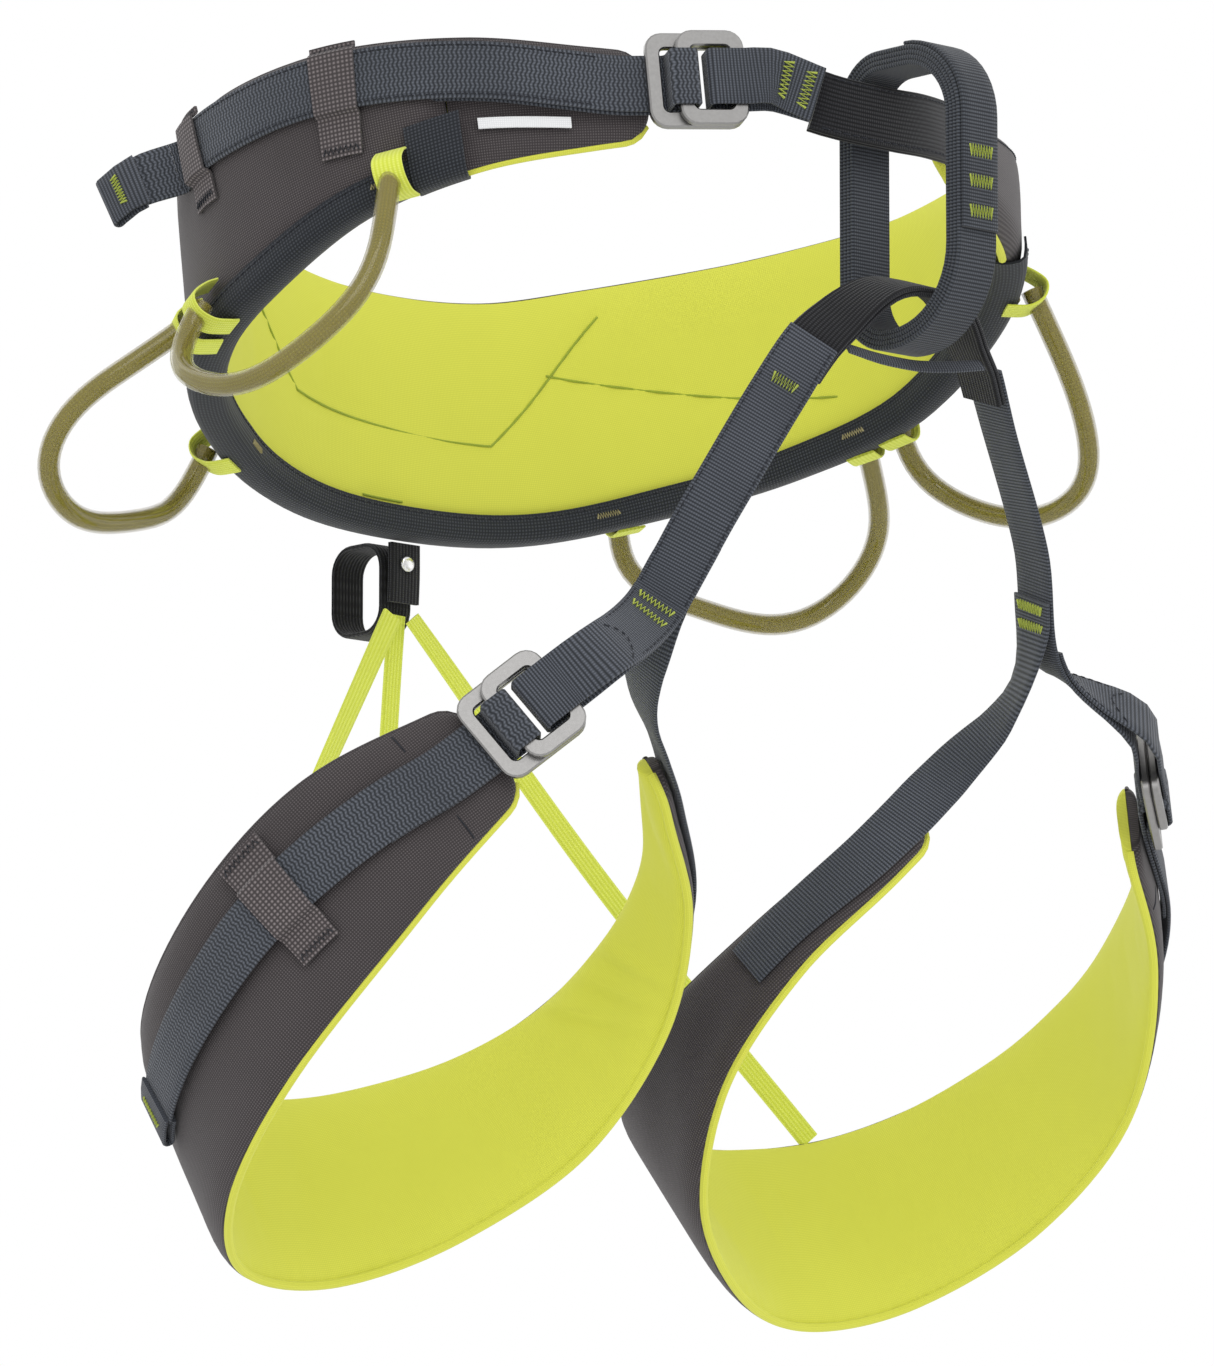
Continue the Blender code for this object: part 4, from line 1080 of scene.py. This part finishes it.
def hollow_tube(name, points, sides=18):
    """Open tube with a real wall."""
    outer = np.array(tube_rings(points, GEAR_TUBE_RADIUS, sides))
    inner = np.array(tube_rings(points, GEAR_CORE_RADIUS + GAP, sides))
    lengths = np.concatenate([[0], np.cumsum(np.linalg.norm(np.diff(points, axis=0), axis=1))])
    rings = np.concatenate([outer, inner[::-1]])
    coords = [[(length, j) for j in range(sides)] for length in (*lengths, *lengths[::-1])]
    return grid_mesh(name, rings, coords, "smoky", closed=True, sharp_deg=60)


def make_haul_loop():
    path = np.array(corner_outline(13, 16, 9, 8))
    frames = loop_frames(HAUL_MIDDLE, path, 2.6 * np.arange(len(path)))
    loop = ribbon("haul_loop_webbing", frames, 7, 1.8, "black", layers=2, closed=True)
    place(loop, "haul_loop", "haul_loop")
    _, y, z = HAUL_MIDDLE
    rear = plain_band([(0, y + 13, z + up) for up in (11, 0, -11)])
    flip = 1 if rear.frame(5)[3][1] > 0 else -1
    tacks = [bar_tack(rear, run, 0, flip * 1.0, 9, 1.8, 8) for run in (6, 17)]
    place(threads("haul_loop_tacks", tacks, 0.4, "thread_lime"), "haul_loop")


def make_hanger_tab():
    tab = plain_band(HANGER_TAB)
    frames = band_frames(tab, steps(0, tab.end, 3))
    place(ribbon("hanger_tab_webbing", frames, 7, 2.0, "black", layers=2), "belt", "hanger_tab")
    _, y, z = RIVET_FACE
    turns = np.arange(20) * math.pi / 10
    rivet = [[(radius * math.cos(a), y - forward, z + radius * math.sin(a)) for a in turns]
             for radius, forward in RIVET_PROFILE]
    coords = [[(0, 0)] * len(turns) for _ in rivet]
    place(grid_mesh("hanger_rivet_head", rivet, coords, "rivet"), "belt", "hanger_rivet")


def make_elastics(leg_rings):
    """The two lime straps that hold up the leg loops, bent between belt and loop, and their slack end."""
    for side, name in SIDES:
        ring = leg_rings[side]
        run = ring.run[int(np.argmin(abs(ring.rows[:, 0] - side * 150) + 1000 * (ring.rows[:, 1] < 20)))]
        foot = ring.point(run, ring.half(run) + 1.2, 0)
        top = np.array(ELASTIC_TOP) * (side, 1, 1)
        middle = (top + foot) / 2 + np.array([0, 2, -4])
        foot_across = unit(ring.frame(run)[1])
        band = Band([(top, (side, 0, 0), 4), (middle, foot_across, 4), (foot, foot_across, 4)], hand=side)
        frames = band_frames(band, steps(0, band.end, 5))
        elastic = ribbon(f"elastic_{name}_strap", frames, 4, ELASTIC_THICK, "lime_elastic")
        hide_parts(f"elastic_{name}")
        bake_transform(elastic)
    slack = plain_band(SLACK_ROUTE)
    frames = band_frames(slack, steps(0, slack.end, 4))
    tail = ribbon("elastic_slack_strap", frames, 4, ELASTIC_THICK, "lime_elastic")
    place(tail, "elastic_slack", "elastic_tail")


# ---- leg loops ----

def make_leg(side, name):
    ring, line = leg_bands(side)
    suffix = f"_{name}"
    body = f"leg_{name}"

    def pleats(run, share):
        total = 0.0
        for middle, tilt in ((174, 6), (186, 10), (199, 14)):
            total += math.exp(-((run - middle - tilt * share) / 2.8) ** 2)
        return total * max(0.0, 0.65 + 0.35 * share)

    def lining_face(run, share):
        high = -1.0 - 2.7 * (1 - abs(share) ** 6)
        gathers = 0.3 * max(-share, 0) ** 2 * math.sin(run * 1.05 + 0.8 * math.sin(run / 9.0))
        folds = 2.6 * pleats(run, share) * (1 - share**4)
        return high - folds + gathers + ripple(run, share, 0.4, side + 0.7)

    def shell_face(run, share):
        return 1.0 + 2.6 * (1 - abs(share) ** 8) + ripple(run, share, 0.3, side + 2.0) * (1 - share * share)

    runs = pad_runs(LEG_PAD_START, ring.end, 2.5)
    corners = ((LEG_PAD_START, 10.0), (ring.end, 8.5))
    lining = pad_cloth("leg_lining_cloth" + suffix, ring, runs, lining_face, lambda run, share: -0.1,
                       "lining", 21, corners)
    shell = pad_cloth("leg_shell_cloth" + suffix, ring, runs, lambda run, share: 0.1, shell_face,
                      "shell", 19, corners)
    for piece, columns, low_held in ((lining, 21, False), (shell, 19, True)):
        size = columns * 2
        held = set(range(columns)) if low_held else set(range(columns, size))
        held |= {0, 1, columns - 2, columns - 1, columns, columns + 1, size - 2, size - 1}
        puff(piece, lambda i, spot, size=size, held=held: i % size in held or i < size, cap=0.6)
    place(lining, body, "leg_lining" + suffix, "leg_foam" + suffix)
    place(shell, body, "leg_shell" + suffix)
    for edge, edge_name, (out, radius, kind) in ((1, "upper", TOP_PIPING), (-1, "lower", LEG_LOW_PIPING)):
        points = edge_points(ring, LEG_PAD_START + 1, ring.end - 1, edge, out, corners)
        place(tube(f"leg_piping_{edge_name}{suffix}", points, radius, 8, kind), body)

    def inner_strap_rise(run):
        return np.interp(run, (0, 40, LEG_PAD_START - 8), (-1.5, 0, LINE_BASE)) + WEBBING_THICK / 2

    inner = band_frames(ring, steps(0, LEG_PAD_START + 78), 0, inner_strap_rise)
    join_run = line.nearest(ring.point(6)) - JOIN_LENGTH / 2
    joined = []
    for centre, across, normal, run in inner:
        blend = min(max((run - 6) / JOIN_LENGTH, 0), 1)
        blend = blend * blend * (3 - 2 * blend)
        _, _, line_across, line_out = line.frame(join_run + run)
        behind = line.point(join_run + run, 0, STRAP_UNDER)
        joined.append((behind * (1 - blend) + centre * blend,
                       unit(line_across * (1 - blend) + across * blend),
                       unit(normal * blend - line_out * (1 - blend)), run))
    inner_strap = webbing("leg_inner_strap_webbing" + suffix, joined, "navy_ribs")
    place(inner_strap, body, "leg_inner_strap" + suffix)

    bridge = band_frames(line, steps(GAP / 2, BRIDGE_LENGTH + 12, 3), 0,
                         lambda run: BRIDGE_THICK / 2 + np.interp(run, (34, 46), (0, 1.3)))
    piece = ribbon("leg_bridge_webbing" + suffix, bridge, WEBBING_WIDTH / 2, BRIDGE_THICK, "black", layers=2)
    place(piece, body, "leg_bridge" + suffix)

    pad_run = line.nearest(ring.point(ring.end, 0, LINE_BASE))
    bar_run = pad_run - 28
    tail_out = WEBBING_THICK + GAP
    keeper_run = pad_run + 88
    hinge = keeper_run + 10
    top = make_buckle("leg", suffix, line, bar_run, tail_out, hinge, BRIDGE_LENGTH + GAP, bar_run - 62,
                      pad_run + 46, (body, f"leg_buckle_frame_{name}"))
    make_keeper("leg_keeper" + suffix, line, keeper_run, 17, (23, 22), KEEPER_LIFT, tail_out + WEBBING_THICK,
                body)
    make_tail_end("leg", suffix, line, hinge, pad_run + LEG_TAIL_LENGTH, tail_out, "leg_tail" + suffix)

    lower = top - WEBBING_THICK - GAP
    tacks = [bar_tack(line, BRIDGE_LENGTH + 20, 0, lower, 9, 3.6, 8)]
    tacks += [bar_tack(line, bar_run - back, 0, top, 13.5, 3.4, 9) for back in (58, 50)]
    under = STRAP_UNDER - WEBBING_THICK
    tacks += [bar_tack(line, join_run + ahead, 0, under, 13.5, 3.0, 9) for ahead in (3, 10)]
    place(threads("leg_strap_tacks" + suffix, tacks, 0.5, "thread_lime"), body)
    rows = stitch_pair(line, BRIDGE_LENGTH + 2, bar_run - 64, 8.7, lower)
    rows += stitch_pair(line, bar_run - 60, bar_run - 26, 8.7, top)
    seam_run = ring.end - 24
    for low_share, high_share in ((-0.93, -0.5), (0.62, 0.93)):
        seam = [ring.point(seam_run, share * ring.half(seam_run), shell_face(seam_run, share) + 0.1)
                for share in np.linspace(low_share, high_share, 6)]
        rows.append(seam)
    curve = [line.point(bar_run - 22 - 5.5 * math.cos(t * math.pi / 2), 8.2 * t, top + 0.9)
             for t in np.linspace(-1, 1, 13)]
    rows += [[a, b] for a, b in zip(curve[::2], curve[1::2])]
    place(threads("leg_strap_stitches" + suffix, rows, 0.26, "thread_navy"), body)

    end = line.point(40, -9.0, -1.4)
    other_end = leg_bands(-1)[1].point(40, -9.0, -1.4)
    middle = np.array([0, other_end[1] - 0.5, other_end[2] - 2.0])
    between = (end + middle) / 2 + (0, 0, -0.6)
    stations = [(between * (-1, 1, 1), (0, 0.5, 0.86), 3), (middle, (0, 0.5, 0.86), 3),
                (between, (0, 0.5, 0.86), 3), (end, (0, 0.6, 0.8), 3)]
    spacer = Band(stations, hand=-side, zero=Band(stations).run[SPAN_POINTS])
    frames = band_frames(spacer, steps(GAP / 2, spacer.end, 3), 0, 0.6)
    strap = ribbon("leg_spacer_webbing" + suffix, frames, 2.4, 1.2, "navy_ribs")
    place(strap, body, "leg_spacer_strap" + suffix, slot="black_webbing")
    return ring


# ---- studio ----

def make_studio():
    scene = bpy.context.scene
    azimuth, elevation = math.radians(-42.5), math.radians(-9.2)
    back = Vector((math.sin(azimuth) * math.cos(elevation), -math.cos(azimuth) * math.cos(elevation),
                   math.sin(elevation)))
    camera = bpy.data.objects.new("camera", bpy.data.cameras.new("camera"))
    camera.data.lens = 263
    camera.location = Vector((0, 0.015, -0.140)) + back * 3.5
    camera.rotation_euler = (-back).to_track_quat("-Z", "Y").to_euler()
    scene.collection.objects.link(camera)
    scene.camera = camera

    for name, spot, size, power in (("key", (-1.6, -2.2, 1.8), 2.0, 22), ("fill", (2.4, -1.6, 0.4), 2.0, 6),
                                    ("back", (0.5, 2.6, 1.4), 2.2, 10)):
        light = bpy.data.objects.new(name, bpy.data.lights.new(name, "AREA"))
        light.data.size = size
        light.data.energy = power
        light.location = spot
        light.rotation_euler = (Vector(spot) - Vector((0, 0, -0.15))).to_track_quat("Z", "Y").to_euler()
        scene.collection.objects.link(light)

    world = bpy.data.worlds.new("studio")
    world.use_nodes = True
    world.node_tree.nodes["Background"].inputs[0].default_value = (1, 1, 1, 1)
    world.node_tree.nodes["Background"].inputs[1].default_value = 1.0
    scene.world = world
    scene.view_settings.view_transform = "Standard"

    size, level = 12.0, -1.3
    mesh = bpy.data.meshes.new("floor")
    corners = [(x * size, y * size, level) for x, y in ((-1, -1), (1, -1), (1, 1), (-1, 1))]
    mesh.from_pydata(corners, [], [(0, 1, 2, 3)])
    floor = bpy.data.objects.new("floor", mesh)
    pale = bpy.data.materials.new("pale floor")
    pale.use_nodes = True
    pale.node_tree.nodes["Principled BSDF"].inputs["Base Color"].default_value = (0.9, 0.9, 0.9, 1)
    pale.node_tree.nodes["Principled BSDF"].inputs["Roughness"].default_value = 0.9
    mesh.materials.append(pale)
    scene.collection.objects.link(floor)


make_studio()
waist_belt = waist_band()
make_waist_cloth(waist_belt)
make_waist_edges(waist_belt)
make_waist_stitches(waist_belt)
make_waist_label_and_load(waist_belt)
make_waist_straps(waist_belt)
make_belay_loop()
make_gear_loops(waist_belt)
leg_rings_by_side = {side: make_leg(side, name) for side, name in SIDES}
make_haul_loop()
make_hanger_tab()
make_elastics(leg_rings_by_side)
